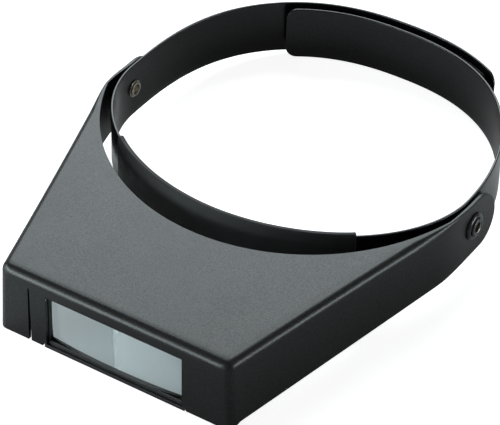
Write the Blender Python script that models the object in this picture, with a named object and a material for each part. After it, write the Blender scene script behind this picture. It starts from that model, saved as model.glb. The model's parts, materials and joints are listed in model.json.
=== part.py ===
"""Head visor magnifier: a tilting hood with a pull-out lens, riveted to an adjustable headband.

Metres, +Z up. The hood's front faces -Y and the back of the head lies towards +Y. The part stands at z = 0
on the lens frame's bar and the rear of the headband, with the origin under the middle of its box. Every
piece hangs from an empty on the pivot axis, which leans back a little for that. Lengths and heights below
are measured from the axis, along and square to the headband, unless they say otherwise.
"""

import math

import bmesh
import bpy
from mathutils import Matrix, Vector

MM = 0.001

# Clearances
GAP = 0.3 * MM  # between pieces that touch
PIVOT_PLAY = 0.3 * MM  # round the eyelet tubes

# Headband loop, to the middle of the strip
LOOP_HALF_WIDTH = 86.7 * MM
LOOP_FRONT = 67.0 * MM
LOOP_REAR = 95.5 * MM
FRONT_FULLNESS = 1.94  # exponent of the front half's oval
REAR_FULLNESS = 2.31  # exponent of the rear half's oval
STRIP_THICK = 1.2 * MM
STRIP_WIDTH = 26.7 * MM
STRIP_DROP = 14.1 * MM  # lower edge of the strip, below the axis
OUTER_TAIL = math.radians(31.5)  # outer tail past the middle of the back
INNER_TAIL = math.radians(35)  # inner tail past the middle of the back
TAIL_CORNER = 5.5 * MM
TAIL_EASE = math.radians(44)  # stretch behind each pivot where a tail moves to its own layer
LOOP_STEP = math.radians(3)
LOOP_NUDGE = math.radians(0.05)  # half step for the loop's direction
END_STEPS = 5
END_CLEAR = 1.2  # stretch at each rounded end that has its own steps, in corner radii

# Tape that joins the tails
PATCH_THICK = 1.8 * MM
PATCH_WIDTH = 20.0 * MM
PATCH_ANGLE = math.radians(28)

# Forehead pad
PAD_ANGLE = math.radians(51.6)
PAD_RISE = 1.4 * MM  # sleeve past each edge of the strip
PAD_PINCH = 0.15 * MM  # half the space left inside the sleeve along its pinched edges
COVER_THICK = 0.6 * MM
FOAM_EDGE = 0.4 * MM
FOAM_MARGIN = 3.0 * MM  # foam narrower than the strip, on each edge
PAD_CROWN = 1.6 * MM
FOAM_INSET = math.radians(1.5)  # foam ends inside the sleeve
PAD_STEPS = 32
PAD_ROWS = 8

# Hood
WALL = 1.6 * MM
VISOR_REACH = 138.2 * MM
FRONT_HALF_WIDTH = 58.2 * MM
FRONT_TOP = 4.9 * MM  # edge of the top plate at the front
TOP_SLOPE = 0.067
TOP_CROWN = 0.3 * MM
SIDE_DRAFT = 0.045
CORNER_RADIUS = 4.0 * MM
TOP_FILLET = 3.6 * MM
FILLET_SHARE = 0.55  # largest share of the plate's or wall's width that a fillet takes
FILLET_FADE = (-28.0 * MM, -4.0 * MM)  # stretch along Y where the side fillet fades away
EDGE_ROUND = 0.5 * MM
ARC_FRONT = 79.9 * MM  # rear edge of the top plate, in the middle
ARC_TRIM = 0.05 * MM  # shaved off the inside of the ears, so that no skin of the plate is left there
EAR_BEND = 18.0 * MM  # where the side wall would meet the ear, ahead of the axis
EAR_BEND_RADIUS = 75.0 * MM
EAR_TOP = 12.0 * MM
EAR_DROP = 15.4 * MM  # lower edge of the ear, below the axis
EAR_REAR = 18.9 * MM
EAR_MID = -3.1 * MM  # height of the ear's rearmost point
EAR_UPPER_RUN = 14.9 * MM  # length of the round over the ear's end
EAR_LOWER_RUN = 11.4 * MM  # length of the round under the ear's end
EAR_TIP_ANGLE = math.radians(86)
EAR_RISE = (-24.0 * MM, 0.0 * MM)  # stretch along Y where the top runs from the plate to the ear
RIM_RISE = (-22.0 * MM, -4.0 * MM)  # stretch along Y where the rim rises to the ear
RIM_FRONT = 26.9 * MM  # rim of the side walls below the axis, at the front
RIM_LIP = 2.4 * MM  # front wall's rim, below that of the side walls
RIM_SLOPE = 0.09
CORNER_STEPS = 5
BEND_STEPS = 6
EAR_STEPS = 12
SIDE_STEPS = 18
FILLET_STEPS = 5
PLATE_STEPS = 3
ARC_STEPS = 40

# Front window, clip slit and the guide channels behind them
WINDOW_HALF = 34.0 * MM
WINDOW_TOP = -2.3 * MM
SLIT_PLACE = 42.5 * MM  # left of the middle
SLIT_TOP = -1.3 * MM
SLIT_NARROW = 0.7 * MM
SLIT_WIDE = 1.5 * MM
NOTCH_PLAY = 0.8 * MM  # wall cut back past each end of the bar
RIB_THICK = 1.6 * MM
RIB_LIP = 2.8 * MM
RIB_LOW = 4.0 * MM  # foot of the channels above the bar's underside
RIB_TOP = 0.5 * MM  # head of the channels above the axis

# Lens frame and lens halves
FLANGE_HALF = 43.4 * MM
FLANGE_THICK = 1.8 * MM
FLANGE_LOW = 1.4 * MM  # above the bar's underside
FLANGE_RIM = 2.3 * MM  # band of the flange above the window
BAR_DROP = 29.9 * MM  # underside of the bar, below the axis
BAR_LIP = 1.7 * MM  # height of the bar's front lip
BAR_HEIGHT = 3.1 * MM
BAR_STEP = 1.4 * MM  # depth of the bar's front lip
BAR_INSET = 0.2 * MM  # bar behind the face of the front wall
BAR_REACH = 1.2 * MM  # bar past each side of the window
SEAT_WALL = 1.5 * MM  # rim round the lens, behind the flange
LENS_SIDE = 0.7 * MM  # lens inside each side of the window
LENS_SET = 0.3 * MM  # lens behind the face of the front wall, at the seam
LENS_EDGE = 1.8 * MM  # lens thickness at its outer corner
LENS_SWELL = 3.2 * MM  # extra thickness at the seam
LENS_CROWN = 0.4 * MM  # extra thickness at mid height
LENS_STEPS = 10

# Pivot hardware
EYELET_RADIUS = 2.9 * MM
EYELET_BORE = 2.4 * MM
EYELET_FLANGE = 4.5 * MM
EYELET_CURL = 0.6 * MM
EYELET_LIP = 3.5 * MM
EYELET_LIP_THICK = 0.4 * MM
WASHER_RADIUS = 4.1 * MM
WASHER_THICK = 0.4 * MM
SPACER_RADIUS = 9.0 * MM
SPACER_THICK = 0.4 * MM
CUP_BASE = 6.3 * MM
CUP_TOP = 4.9 * MM
CUP_RISE = 1.3 * MM
TURN_STEPS = 32
DOME_STEPS = 5
MERGE_DISTANCE = 0.001 * MM

# Sizes that follow from the ones above
STRIP_LOW = -STRIP_DROP
STRIP_HIGH = STRIP_WIDTH - STRIP_DROP
STRIP_MID = (STRIP_LOW + STRIP_HIGH) / 2
TAIL_SPREAD = STRIP_THICK / 2 + GAP + PATCH_THICK + GAP / 2
STRIP_FACE = LOOP_HALF_WIDTH + STRIP_THICK / 2
SPACER_FACE = STRIP_FACE + GAP
EAR_INNER = SPACER_FACE + SPACER_THICK + GAP
EAR_OUTER = EAR_INNER + WALL
CUP_FACE = EAR_OUTER + GAP
EYELET_SEAT = CUP_FACE + CUP_RISE + GAP
WASHER_FACE = LOOP_HALF_WIDTH - STRIP_THICK / 2 - GAP
LIP_FACE = WASHER_FACE - WASHER_THICK - GAP
PIVOT_BORE = EYELET_RADIUS + PIVOT_PLAY
SIDE_ANGLE = math.atan2(EAR_OUTER - FRONT_HALF_WIDTH, VISOR_REACH - EAR_BEND)
WALL_INNER = -VISOR_REACH + WALL
FLANGE_FRONT = WALL_INNER + GAP
FLANGE_BACK = FLANGE_FRONT + FLANGE_THICK
BAR_FRONT = -VISOR_REACH + BAR_INSET
BAR_BACK = FLANGE_BACK - GAP
BAR_HALF = WINDOW_HALF + BAR_REACH
LENS_HALF = WINDOW_HALF - LENS_SIDE
OPENING_HALF = LENS_HALF + GAP
LENS_LOW = -BAR_DROP + BAR_HEIGHT + GAP
LENS_TOP = WINDOW_TOP - GAP
LENS_BACK = -VISOR_REACH + LENS_SET + LENS_EDGE + LENS_SWELL + LENS_CROWN
FLANGE_TOP = WINDOW_TOP + FLANGE_RIM
LOOP_END = LOOP_REAR + TAIL_SPREAD + STRIP_THICK / 2
STAND_SLOPE = (BAR_DROP - STRIP_DROP) / (LOOP_END - BAR_FRONT)
STAND_TILT = math.atan(STAND_SLOPE)
BOX_FRONT = VISOR_REACH * math.cos(STAND_TILT) + (RIM_FRONT + RIM_LIP) * math.sin(STAND_TILT)
BOX_REAR = LOOP_END * math.cos(STAND_TILT) + STRIP_HIGH * math.sin(STAND_TILT)
PIVOT_HEIGHT = BAR_DROP * math.cos(STAND_TILT) + BAR_FRONT * math.sin(STAND_TILT)
PIVOT_PLACE = Vector((0, (BOX_FRONT - BOX_REAR) / 2, PIVOT_HEIGHT))

# Colours (linear red, green, blue), roughness and metallic value
FINISHES = {
    "hood_black": ((0.030, 0.033, 0.035), 0.50, 0.0),
    "strip_black": ((0.012, 0.012, 0.013), 0.35, 0.0),
    "sleeve_black": ((0.008, 0.008, 0.009), 0.50, 0.0),
    "foam_grey": ((0.030, 0.030, 0.030), 0.90, 0.0),
    "tape_black": ((0.010, 0.010, 0.010), 0.95, 0.0),
    "frame_black": ((0.012, 0.012, 0.013), 0.40, 0.0),
    "lens_clear": ((0.45, 0.52, 0.56), 0.05, 0.0),
    "eyelet_brass": ((0.30, 0.24, 0.13), 0.35, 1.0),
    "cup_black": ((0.010, 0.010, 0.011), 0.30, 0.0),
    "spacer_nylon": ((0.020, 0.020, 0.020), 0.60, 0.0),
}

SHARP_ANGLE = math.radians(35)


def clear_scene():
    """Remove every object of the open scene."""
    for old in list(bpy.data.objects):
        bpy.data.objects.remove(old, do_unlink=True)


def finish(name):
    """Material of one finish, made on first use."""
    material = bpy.data.materials.get(name)
    if material is None:
        colour, roughness, metallic = FINISHES[name]
        material = bpy.data.materials.new(name)
        material.use_nodes = True
        shader = material.node_tree.nodes["Principled BSDF"]
        shader.inputs["Base Color"].default_value = (*colour, 1)
        shader.inputs["Roughness"].default_value = roughness
        shader.inputs["Metallic"].default_value = metallic
        material.diffuse_color = (*colour, 1)
    return material


def add_empty(name, place, tilt, parent=None):
    """Empty that carries the pieces of one body, turned about X by a tilt."""
    empty = bpy.data.objects.new(name, None)
    empty.location = place
    empty.rotation_euler.x = tilt
    empty.parent = parent
    bpy.context.scene.collection.objects.link(empty)
    return empty


def add_piece(name, shape, parent, finish_name):
    """Object for one solid from a bmesh, with its normals facing out."""
    shape.normal_update()
    bmesh.ops.recalc_face_normals(shape, faces=shape.faces)
    mesh = bpy.data.meshes.new(name)
    shape.to_mesh(mesh)
    shape.free()
    mesh.shade_smooth()
    mesh.set_sharp_from_angle(angle=SHARP_ANGLE)
    piece = bpy.data.objects.new(name, mesh)
    piece.parent = parent
    piece.data.materials.append(finish(finish_name))
    bpy.context.scene.collection.objects.link(piece)
    return piece


def add_tool(name, shape, parent):
    """Hidden solid that a Boolean modifier uses."""
    tool = add_piece(name, shape, parent, "frame_black")
    tool.hide_render = True
    tool.display_type = "WIRE"
    return tool


def boolean(piece, tool, operation):
    """Boolean modifier on a piece."""
    modifier = piece.modifiers.new(tool.name, "BOOLEAN")
    modifier.operation = operation
    modifier.solver = "EXACT"
    modifier.object = tool


def skin_rings(rings):
    """Closed solid through a row of equal rings of points, with flat ends."""
    shape = bmesh.new()
    loops = [[shape.verts.new(point) for point in ring] for ring in rings]
    for first, second in zip(loops, loops[1:]):
        for here in range(len(first)):
            after = (here + 1) % len(first)
            shape.faces.new((first[here], first[after], second[after], second[here]))
    shape.faces.new(loops[0])
    shape.faces.new(loops[-1])
    return shape


def add_box(shape, low, high):
    """Box between two corners, added to a bmesh."""
    made = bmesh.ops.create_cube(shape, size=1)
    middle = [(a + b) / 2 for a, b in zip(low, high)]
    size = [b - a for a, b in zip(low, high)]
    bmesh.ops.scale(shape, vec=size, verts=made["verts"])
    bmesh.ops.translate(shape, vec=middle, verts=made["verts"])


def add_prism(shape, outline, low, high):
    """Upright prism on a flat outline of (x, y) points, added to a bmesh."""
    base = [shape.verts.new((x, y, low)) for x, y in outline]
    face = shape.faces.new(base)
    pulled = bmesh.ops.extrude_face_region(shape, geom=[face])
    top = [item for item in pulled["geom"] if isinstance(item, bmesh.types.BMVert)]
    bmesh.ops.translate(shape, vec=(0, 0, high - low), verts=top)


def pivot_drill(parent):
    """Rod along the pivot axis, for the eyelet holes of both sides."""
    shape = bmesh.new()
    bmesh.ops.create_cone(
        shape,
        cap_ends=True,
        segments=TURN_STEPS,
        radius1=PIVOT_BORE,
        radius2=PIVOT_BORE,
        depth=3 * EAR_OUTER,
        matrix=Matrix.Rotation(math.pi / 2, 4, "Y"),
    )
    return add_tool(f"{parent.name}_pivot_drill", shape, parent)


def loop_radius(angle):
    """Distance from the loop's centre to the strip, at an angle from the right pivot towards the back."""
    behind = math.sin(angle) > 0
    fullness = REAR_FULLNESS if behind else FRONT_FULLNESS
    across = abs(math.cos(angle)) / LOOP_HALF_WIDTH
    along = abs(math.sin(angle)) / (LOOP_REAR if behind else LOOP_FRONT)
    return (across**fullness + along**fullness) ** (-1 / fullness)


def loop_point(angle, offset):
    """Point (x, y) on the headband loop, moved outwards by an offset."""
    turns = (angle - LOOP_NUDGE, angle, angle + LOOP_NUDGE)
    before, here, after = (loop_radius(turn) * Vector((math.cos(turn), math.sin(turn))) for turn in turns)
    tangent = (after - before).normalized()
    return here + offset * Vector((tangent.y, -tangent.x))


def ease(share):
    """Smooth step from 0 to 1."""
    share = min(max(share, 0), 1)
    return share * share * (3 - 2 * share)


def spaced(first, last, count):
    """Evenly spaced values, ends included."""
    return [first + (last - first) * step / count for step in range(count + 1)]


def band_ring(angle, section):
    """Ring of points across the headband: section holds (outward offset, height) pairs."""
    places = ((loop_point(angle, offset), height) for offset, height in section)
    return [(place.x, place.y, height) for place, height in places]


def flat_section(offset, thick, low, high):
    """Rectangular section of a strip."""
    inner = offset - thick / 2
    outer = offset + thick / 2
    return [(outer, low), (outer, high), (inner, high), (inner, low)]


def tail_offset(angle):
    """Offset of the strip's layer: outside on the left tail, inside on the right tail."""
    left_pivot = math.pi
    right_pivot = 2 * math.pi
    if angle < left_pivot:
        return TAIL_SPREAD * ease((left_pivot - angle) / TAIL_EASE)
    return -TAIL_SPREAD * ease((angle - right_pivot) / TAIL_EASE)


def corner_cut(distance, radius):
    """Height taken off a rounded end at a distance from its tip."""
    reach = radius - min(max(distance, 0), radius)
    return radius - math.sqrt(radius * radius - reach * reach)


def rounded_band(name, first, last, layer, size, parent, finish_name):
    """Strip along the loop between two angles: size holds thickness, lower edge, upper edge and corner."""
    thick, low, high, corner = size
    count = round((last - first) / LOOP_STEP)
    angles = spaced(first, last, count)
    first_radius = loop_radius(first)
    last_radius = loop_radius(last)
    turns = [corner * (1 - math.cos(part)) for part in spaced(0, math.pi / 2, END_STEPS)]
    clear = END_CLEAR * corner / min(first_radius, last_radius)
    inner = [angle for angle in angles if first + clear < angle < last - clear]
    start = [first + reach / first_radius for reach in turns]
    end = [last - reach / last_radius for reach in reversed(turns)]
    rings = []
    for angle in start + inner + end:
        distance = min((angle - first) * first_radius, (last - angle) * last_radius)
        cut = corner_cut(distance, corner)
        rings.append(band_ring(angle, flat_section(layer(angle), thick, low + cut, high - cut)))
    return add_piece(name, skin_rings(rings), parent, finish_name)


def headband_strip(parent):
    """One strip from the outer tail, round the forehead, to the inner tail."""
    first = math.pi / 2 - OUTER_TAIL
    last = 2.5 * math.pi + INNER_TAIL
    size = (STRIP_THICK, STRIP_LOW, STRIP_HIGH, TAIL_CORNER)
    strip = rounded_band("headband_strip", first, last, tail_offset, size, parent, "strip_black")
    boolean(strip, pivot_drill(parent), "DIFFERENCE")


def tail_tape(parent):
    """Hook patch on the outer tail and loop patch on the inner tail, face to face."""
    layer = (GAP + PATCH_THICK) / 2
    low = STRIP_MID - PATCH_WIDTH / 2
    high = STRIP_MID + PATCH_WIDTH / 2
    first = math.pi / 2 - PATCH_ANGLE
    last = math.pi / 2 + PATCH_ANGLE
    size = (PATCH_THICK, low, high, TAIL_CORNER - (STRIP_WIDTH - PATCH_WIDTH) / 2)
    rounded_band("hook_patch", first, last, lambda angle: layer, size, parent, "tape_black")
    rounded_band("loop_patch", first, last, lambda angle: -layer, size, parent, "tape_black")


def pad_crown(share):
    """Swell of the pad along its length, drawn in towards both ends."""
    return PAD_CROWN * (1 - (2 * share - 1) ** 4)


def pad_inner_face(depth, crown):
    """Forehead side of the pad over the foam, from its lower to its upper edge."""
    half_height = STRIP_WIDTH / 2 - FOAM_MARGIN
    rows = spaced(-1, 1, PAD_ROWS)
    return [(-depth - crown * (1 - row * row), STRIP_MID + half_height * row) for row in rows]


def sleeve_section(grow, crown):
    """Section round the strip and the foam, pinched along both edges and grown on all sides."""
    flat = STRIP_THICK / 2 + GAP + grow
    pinch = PAD_PINCH + grow
    edge = STRIP_WIDTH / 2 + GAP
    tip = STRIP_WIDTH / 2 + PAD_RISE - COVER_THICK + grow
    upper = [(-flat, edge), (-pinch, tip), (pinch, tip), (flat, edge)]
    lower = [(offset, -height) for offset, height in reversed(upper)]
    face = pad_inner_face(flat + FOAM_EDGE + GAP, crown)
    return face + [(offset, STRIP_MID + height) for offset, height in upper + lower]


def foam_section(crown):
    """Section of the foam between the strip and the sleeve."""
    back = STRIP_THICK / 2 + GAP
    face = pad_inner_face(back + FOAM_EDGE, crown)
    return face + [(-back, face[-1][1]), (-back, face[0][1])]


def pad_rings(section, half_angle):
    """Rings of a pad piece, between two angles either side of the forehead."""
    forehead = 1.5 * math.pi
    rings = []
    for angle in spaced(forehead - half_angle, forehead + half_angle, PAD_STEPS):
        share = (angle - forehead + PAD_ANGLE) / (2 * PAD_ANGLE)
        rings.append(band_ring(angle, section(pad_crown(share))))
    return rings


def forehead_pad(parent):
    """Foam on the forehead side of the strip, and the sleeve round both."""
    foam = skin_rings(pad_rings(foam_section, PAD_ANGLE - FOAM_INSET))
    add_piece("forehead_foam", foam, parent, "foam_grey")
    outside = skin_rings(pad_rings(lambda crown: sleeve_section(COVER_THICK, crown), PAD_ANGLE))
    cover = add_piece("forehead_cover", outside, parent, "sleeve_black")
    hollow = skin_rings(pad_rings(lambda crown: sleeve_section(0, crown), PAD_ANGLE + FOAM_INSET))
    boolean(cover, add_tool("sleeve_hollow", hollow, parent), "DIFFERENCE")


def bend_points(corner, radius, first, last, count):
    """Arc that rounds an outline's corner: (point, outward) pairs between two outward angles."""
    first_out = Vector((math.cos(first), math.sin(first)))
    last_out = Vector((math.cos(last), math.sin(last)))
    centre = corner - radius * (first_out + last_out) / (1 + first_out.dot(last_out))
    outs = [Vector((math.cos(turn), math.sin(turn))) for turn in spaced(first, last, count)]
    return [(centre + radius * out, out) for out in outs]


def hood_stations():
    """Right side of the rim in plan: (point, outward) pairs to the ear tip, and where the plate ends."""
    side_out = Vector((math.cos(SIDE_ANGLE), -math.sin(SIDE_ANGLE)))
    corner = Vector((FRONT_HALF_WIDTH, -VISOR_REACH))
    bend = Vector((EAR_OUTER, -EAR_BEND))
    front_corner = bend_points(corner, CORNER_RADIUS, -math.pi / 2, -SIDE_ANGLE, CORNER_STEPS)
    ear_bend = bend_points(bend, EAR_BEND_RADIUS, -SIDE_ANGLE, 0, BEND_STEPS)
    side_first = front_corner[-1][0]
    side_last = ear_bend[0][0]
    side = [(side_first.lerp(side_last, share), side_out) for share in spaced(0, 1, SIDE_STEPS)]
    ear_first = ear_bend[-1][0].y
    ear_turns = spaced(0, EAR_TIP_ANGLE, EAR_STEPS)
    ear_places = [ear_first + (EAR_REAR - ear_first) * math.sin(turn) for turn in ear_turns]
    ear = [(Vector((EAR_OUTER, place)), Vector((1, 0))) for place in ear_places]
    half = len(ear_bend) // 2 + 1
    plated = front_corner + side[1:] + ear_bend[1:half]
    return plated + ear_bend[half:] + ear[1:], len(plated) - 1


def plate_arc(stations, last):
    """Radius and centre of the top plate's rear edge, which ends on the inside of the side walls."""
    point, outward = stations[last]
    tip = point - outward * (WALL - ARC_TRIM)
    rise = tip.y + ARC_FRONT
    radius = (tip.x**2 + rise**2) / (2 * rise)
    return radius, radius - ARC_FRONT, tip


def half_width(y):
    """Half width of the hood's rim at a place along Y, with its corners sharp."""
    return FRONT_HALF_WIDTH + (y + VISOR_REACH) * math.tan(SIDE_ANGLE)


def stretch(y, limits):
    """Smooth share, from 0 to 1, of a stretch along Y."""
    return ease((y - limits[0]) / (limits[1] - limits[0]))


def ear_round(y, run):
    """Height share left at a place along Y of the ear's rounded end."""
    along = max((y - EAR_REAR + run) / run, 0)
    return math.sqrt(1 - along * along)


def roof_height(x, y):
    """Height of the hood's top: a crowned plate that slopes to the front and ends in round ears."""
    across = x / half_width(y)
    plate = FRONT_TOP + TOP_SLOPE * (y + VISOR_REACH) + TOP_CROWN * max(1 - across * across, 0)
    ear = EAR_MID + (EAR_TOP - EAR_MID) * ear_round(y, EAR_UPPER_RUN)
    share = stretch(y, EAR_RISE)
    return plate * (1 - share) + ear * share


def rim_height(y):
    """Height of the rim: lowest at the front wall, it slopes up to the ear and runs round the ear's end."""
    lip = RIM_LIP * (1 - stretch(y, (WALL_INNER, CORNER_RADIUS - VISOR_REACH)))
    slope = RIM_SLOPE * (y + VISOR_REACH) - RIM_FRONT - lip
    ear = EAR_MID - (EAR_DROP + EAR_MID) * ear_round(y, EAR_LOWER_RUN)
    share = stretch(y, RIM_RISE)
    return slope * (1 - share) + ear * share


def side_lean(y):
    """Draft of the side walls: full at the front corner, none at the ear."""
    along = (y + VISOR_REACH) / (VISOR_REACH - EAR_BEND)
    return SIDE_DRAFT * max(1 - along * along, 0)


def edge_fillet(point, arc):
    """Width and depth of the rounding on top of a side wall: it fades at the ear."""
    radius, centre, tip = arc
    inner = point.x - WALL
    if point.y < tip.y:
        inner = math.sqrt(max(radius**2 - (point.y - centre) ** 2, 0)) if point.y > -ARC_FRONT else 0
    depth = TOP_FILLET + (EDGE_ROUND - TOP_FILLET) * stretch(point.y, FILLET_FADE)
    width = max(min(depth, FILLET_SHARE * (point.x - inner)), EDGE_ROUND)
    return width, depth


def hood_ring(point, outward, fillet, inset, low):
    """Section of the hood across X at one station, moved inwards by an inset, with a flat underside."""
    place = point - outward * inset
    from_front = point.y + VISOR_REACH + (outward.y + 1) * inset
    width, depth = (max(reach - inset, EDGE_ROUND) for reach in fillet)
    front_round = max(TOP_FILLET - inset, EDGE_ROUND)
    drop = corner_cut(from_front, front_round) + inset
    shoulder = place.x - side_lean(place.y) * (roof_height(place.x, place.y) + RIM_FRONT)
    side = [Vector((place.x, place.y, low))]
    for turn in spaced(0, math.pi / 2, FILLET_STEPS):
        x = shoulder - width * (1 - math.cos(turn))
        height = roof_height(x, place.y) - drop - depth * (1 - math.sin(turn))
        side.append(Vector((x, place.y, height)))
    plate_edge = side[-1].x
    for share in spaced(1, 0, PLATE_STEPS)[1:]:
        x = plate_edge * share
        side.append(Vector((x, place.y, roof_height(x, place.y) - drop)))
    return side + [Vector((-spot.x, spot.y, spot.z)) for spot in reversed(side[:-1])]


def hood_block(stations, arc):
    """Hood as a full block, before it is hollowed."""
    rings = []
    for point, outward in stations:
        rings.append(hood_ring(point, outward, edge_fillet(point, arc), 0, rim_height(point.y)))
    return skin_rings(rings)


def hood_hollow(stations, arc, parent):
    """Space under the hood: the block's shape moved in by the wall, and run past the rim and the ears."""
    below = -BAR_DROP - WALL
    rings = [hood_ring(point, outward, edge_fillet(point, arc), WALL, below) for point, outward in stations]
    beyond = [spot + Vector((0, EAR_REAR, 0)) for spot in rings[-1]]
    return add_tool("hood_hollow", skin_rings(rings + [beyond]), parent)


def head_clearance(stations, last, arc, parent):
    """Space for the head: everything between the ears, behind the top plate's arc."""
    shape = bmesh.new()
    radius, centre, tip = arc
    inside = [point - outward * (WALL - ARC_TRIM) for point, outward in stations[last:]]
    right = inside + [Vector((inside[-1].x, 2 * EAR_REAR))]
    left = [Vector((-spot.x, spot.y)) for spot in reversed(right)]
    half_turn = math.asin(tip.x / radius)
    turns = spaced(-half_turn, half_turn, ARC_STEPS)[1:-1]
    edge = [Vector((radius * math.sin(turn), centre - radius * math.cos(turn))) for turn in turns]
    add_prism(shape, [tuple(spot) for spot in right + left + edge], -2 * BAR_DROP, 2 * BAR_DROP)
    return add_tool("head_clearance", shape, parent)


def guide_ribs(parent):
    """L-shaped channels on the inside of the front wall, for the edges of the lens frame."""
    shape = bmesh.new()
    web = FLANGE_HALF + GAP
    behind = FLANGE_BACK + GAP
    outline = [
        (web, WALL_INNER - WALL / 2),
        (web + RIB_THICK, WALL_INNER - WALL / 2),
        (web + RIB_THICK, behind + RIB_THICK),
        (web - RIB_LIP, behind + RIB_THICK),
        (web - RIB_LIP, behind),
        (web, behind),
    ]
    for side in (1, -1):
        add_prism(shape, [(side * x, y) for x, y in outline], RIB_LOW - BAR_DROP, RIB_TOP)
    return add_tool("guide_ribs", shape, parent)


def front_window(parent):
    """Window of the front wall, open below, with a notch at each side for the ends of the bar."""
    below = -BAR_DROP - WALL
    notch = BAR_HALF + NOTCH_PLAY
    notch_top = BAR_LIP - BAR_DROP + GAP
    half = [(notch, below), (notch, notch_top), (WINDOW_HALF, notch_top), (WINDOW_HALF, WINDOW_TOP)]
    outline = half + [(-x, z) for x, z in reversed(half)]
    depths = (-VISOR_REACH - WALL, WALL_INNER + WALL / 2)
    shape = skin_rings([[(x, y, z) for x, z in outline] for y in depths])
    return add_tool("front_window", shape, parent)


def clip_slit(parent):
    """Slit that frees a springy tongue on the left of the window."""
    below = -BAR_DROP - WALL
    outline = [(SLIT_WIDE, below), (SLIT_NARROW, SLIT_TOP), (-SLIT_NARROW, SLIT_TOP), (-SLIT_WIDE, below)]
    depths = (-VISOR_REACH - WALL, WALL_INNER + WALL / 2)
    shape = skin_rings([[(width / 2 - SLIT_PLACE, y, z) for width, z in outline] for y in depths])
    return add_tool("clip_slit", shape, parent)


def visor_shell(parent):
    """Hood: a hollowed block, with channels, window, slit and eyelet holes."""
    stations, last = hood_stations()
    arc = plate_arc(stations, last)
    hood = add_piece("visor_shell", hood_block(stations, arc), parent, "hood_black")
    boolean(hood, pivot_drill(parent), "DIFFERENCE")
    boolean(hood, hood_hollow(stations, arc, parent), "DIFFERENCE")
    boolean(hood, head_clearance(stations, last, arc, parent), "DIFFERENCE")
    boolean(hood, guide_ribs(parent), "UNION")
    boolean(hood, front_window(parent), "DIFFERENCE")
    boolean(hood, clip_slit(parent), "DIFFERENCE")


def bar_block(name, half, outline, parent):
    """Block along the foot of the lens frame: its (y, z) outline carried across X."""
    shape = skin_rings([[(x, y, z) for y, z in outline] for x in (-half, half)])
    return add_tool(name, shape, parent)


def lens_bar(parent):
    """Bar under the window: a lip that reaches past both sides, and a higher step behind it."""
    back_foot = STAND_SLOPE * (BAR_BACK - BAR_FRONT) - BAR_DROP
    lip_top = BAR_LIP - BAR_DROP
    lip = [(BAR_FRONT, -BAR_DROP), (BAR_BACK, back_foot), (BAR_BACK, lip_top), (BAR_FRONT, lip_top)]
    step_front = BAR_FRONT + BAR_STEP
    step_back = BAR_BACK - GAP
    step_low = lip_top - BAR_LIP / 2
    step_top = BAR_HEIGHT - GAP - BAR_DROP
    step = [(step_front, step_low), (step_back, step_low), (step_back, step_top), (step_front, step_top)]
    return bar_block("bar_lip", BAR_HALF, lip, parent), bar_block("bar_step", LENS_HALF, step, parent)


def lens_frame(parent):
    """Carrier: a flange and a seat behind the front wall, open for the lens, on a bar under the window."""
    shape = bmesh.new()
    foot = FLANGE_LOW - BAR_DROP
    add_box(shape, (-FLANGE_HALF, FLANGE_FRONT, foot), (FLANGE_HALF, FLANGE_BACK, FLANGE_TOP))
    frame = add_piece("lens_frame", shape, parent, "frame_black")
    for block in lens_bar(parent):
        boolean(frame, block, "UNION")
    shape = bmesh.new()
    seat_half = OPENING_HALF + SEAT_WALL
    seat_low = BAR_HEIGHT - SEAT_WALL - BAR_DROP
    seat_top = WINDOW_TOP + SEAT_WALL
    add_box(shape, (-seat_half, FLANGE_FRONT + GAP, seat_low), (seat_half, LENS_BACK, seat_top))
    boolean(frame, add_tool("lens_seat", shape, parent), "UNION")
    shape = bmesh.new()
    opening_low = BAR_HEIGHT - BAR_DROP
    add_box(shape, (-OPENING_HALF, BAR_FRONT, opening_low), (OPENING_HALF, LENS_BACK + WALL, WINDOW_TOP))
    boolean(frame, add_tool("lens_opening", shape, parent), "DIFFERENCE")


def lens_half(name, side, parent):
    """Lens half with a flat back, thickest at the seam in the middle of the window."""
    middle = (LENS_LOW + LENS_TOP) / 2
    half_height = (LENS_TOP - LENS_LOW) / 2
    rings = []
    for x in spaced(GAP / 2, LENS_HALF, LENS_STEPS):
        swell = LENS_SWELL * (1 - (x / LENS_HALF) ** 2)
        ring = []
        for row in spaced(-1, 1, LENS_STEPS):
            thick = LENS_EDGE + swell + LENS_CROWN * (1 - row * row)
            ring.append((side * x, LENS_BACK - thick, middle + half_height * row))
        for row in spaced(1, -1, LENS_STEPS):
            ring.append((side * x, LENS_BACK, middle + half_height * row))
        rings.append(ring)
    add_piece(name, skin_rings(rings), parent, "lens_clear")


def turned_ring(name, side, profile, parent, finish_name):
    """Ring turned about the pivot axis from a closed profile of (distance along the axis, radius) points."""
    shape = bmesh.new()
    verts = [shape.verts.new((side * along, 0, radius)) for along, radius in profile]
    edges = [shape.edges.new((verts[index - 1], verts[index])) for index in range(len(verts))]
    bmesh.ops.spin(
        shape,
        geom=verts + edges,
        cent=(0, 0, 0),
        axis=(1, 0, 0),
        angle=2 * math.pi,
        steps=TURN_STEPS,
        use_merge=True,
    )
    bmesh.ops.remove_doubles(shape, verts=shape.verts, dist=MERGE_DISTANCE)
    add_piece(name, shape, parent, finish_name)


def flat_ring(face, thick, radius):
    """Profile of a flat washer that fits the eyelet tube."""
    return [(face, PIVOT_BORE), (face, radius), (face + thick, radius), (face + thick, PIVOT_BORE)]


def cup_profile():
    """Profile of the domed ring outside the ear."""
    dome = [
        (CUP_FACE + CUP_RISE * math.sin(turn), CUP_TOP + (CUP_BASE - CUP_TOP) * math.cos(turn))
        for turn in spaced(0, math.pi / 2, DOME_STEPS)
    ]
    return [(CUP_FACE, PIVOT_BORE)] + dome + [(CUP_FACE + CUP_RISE, PIVOT_BORE)]


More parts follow.
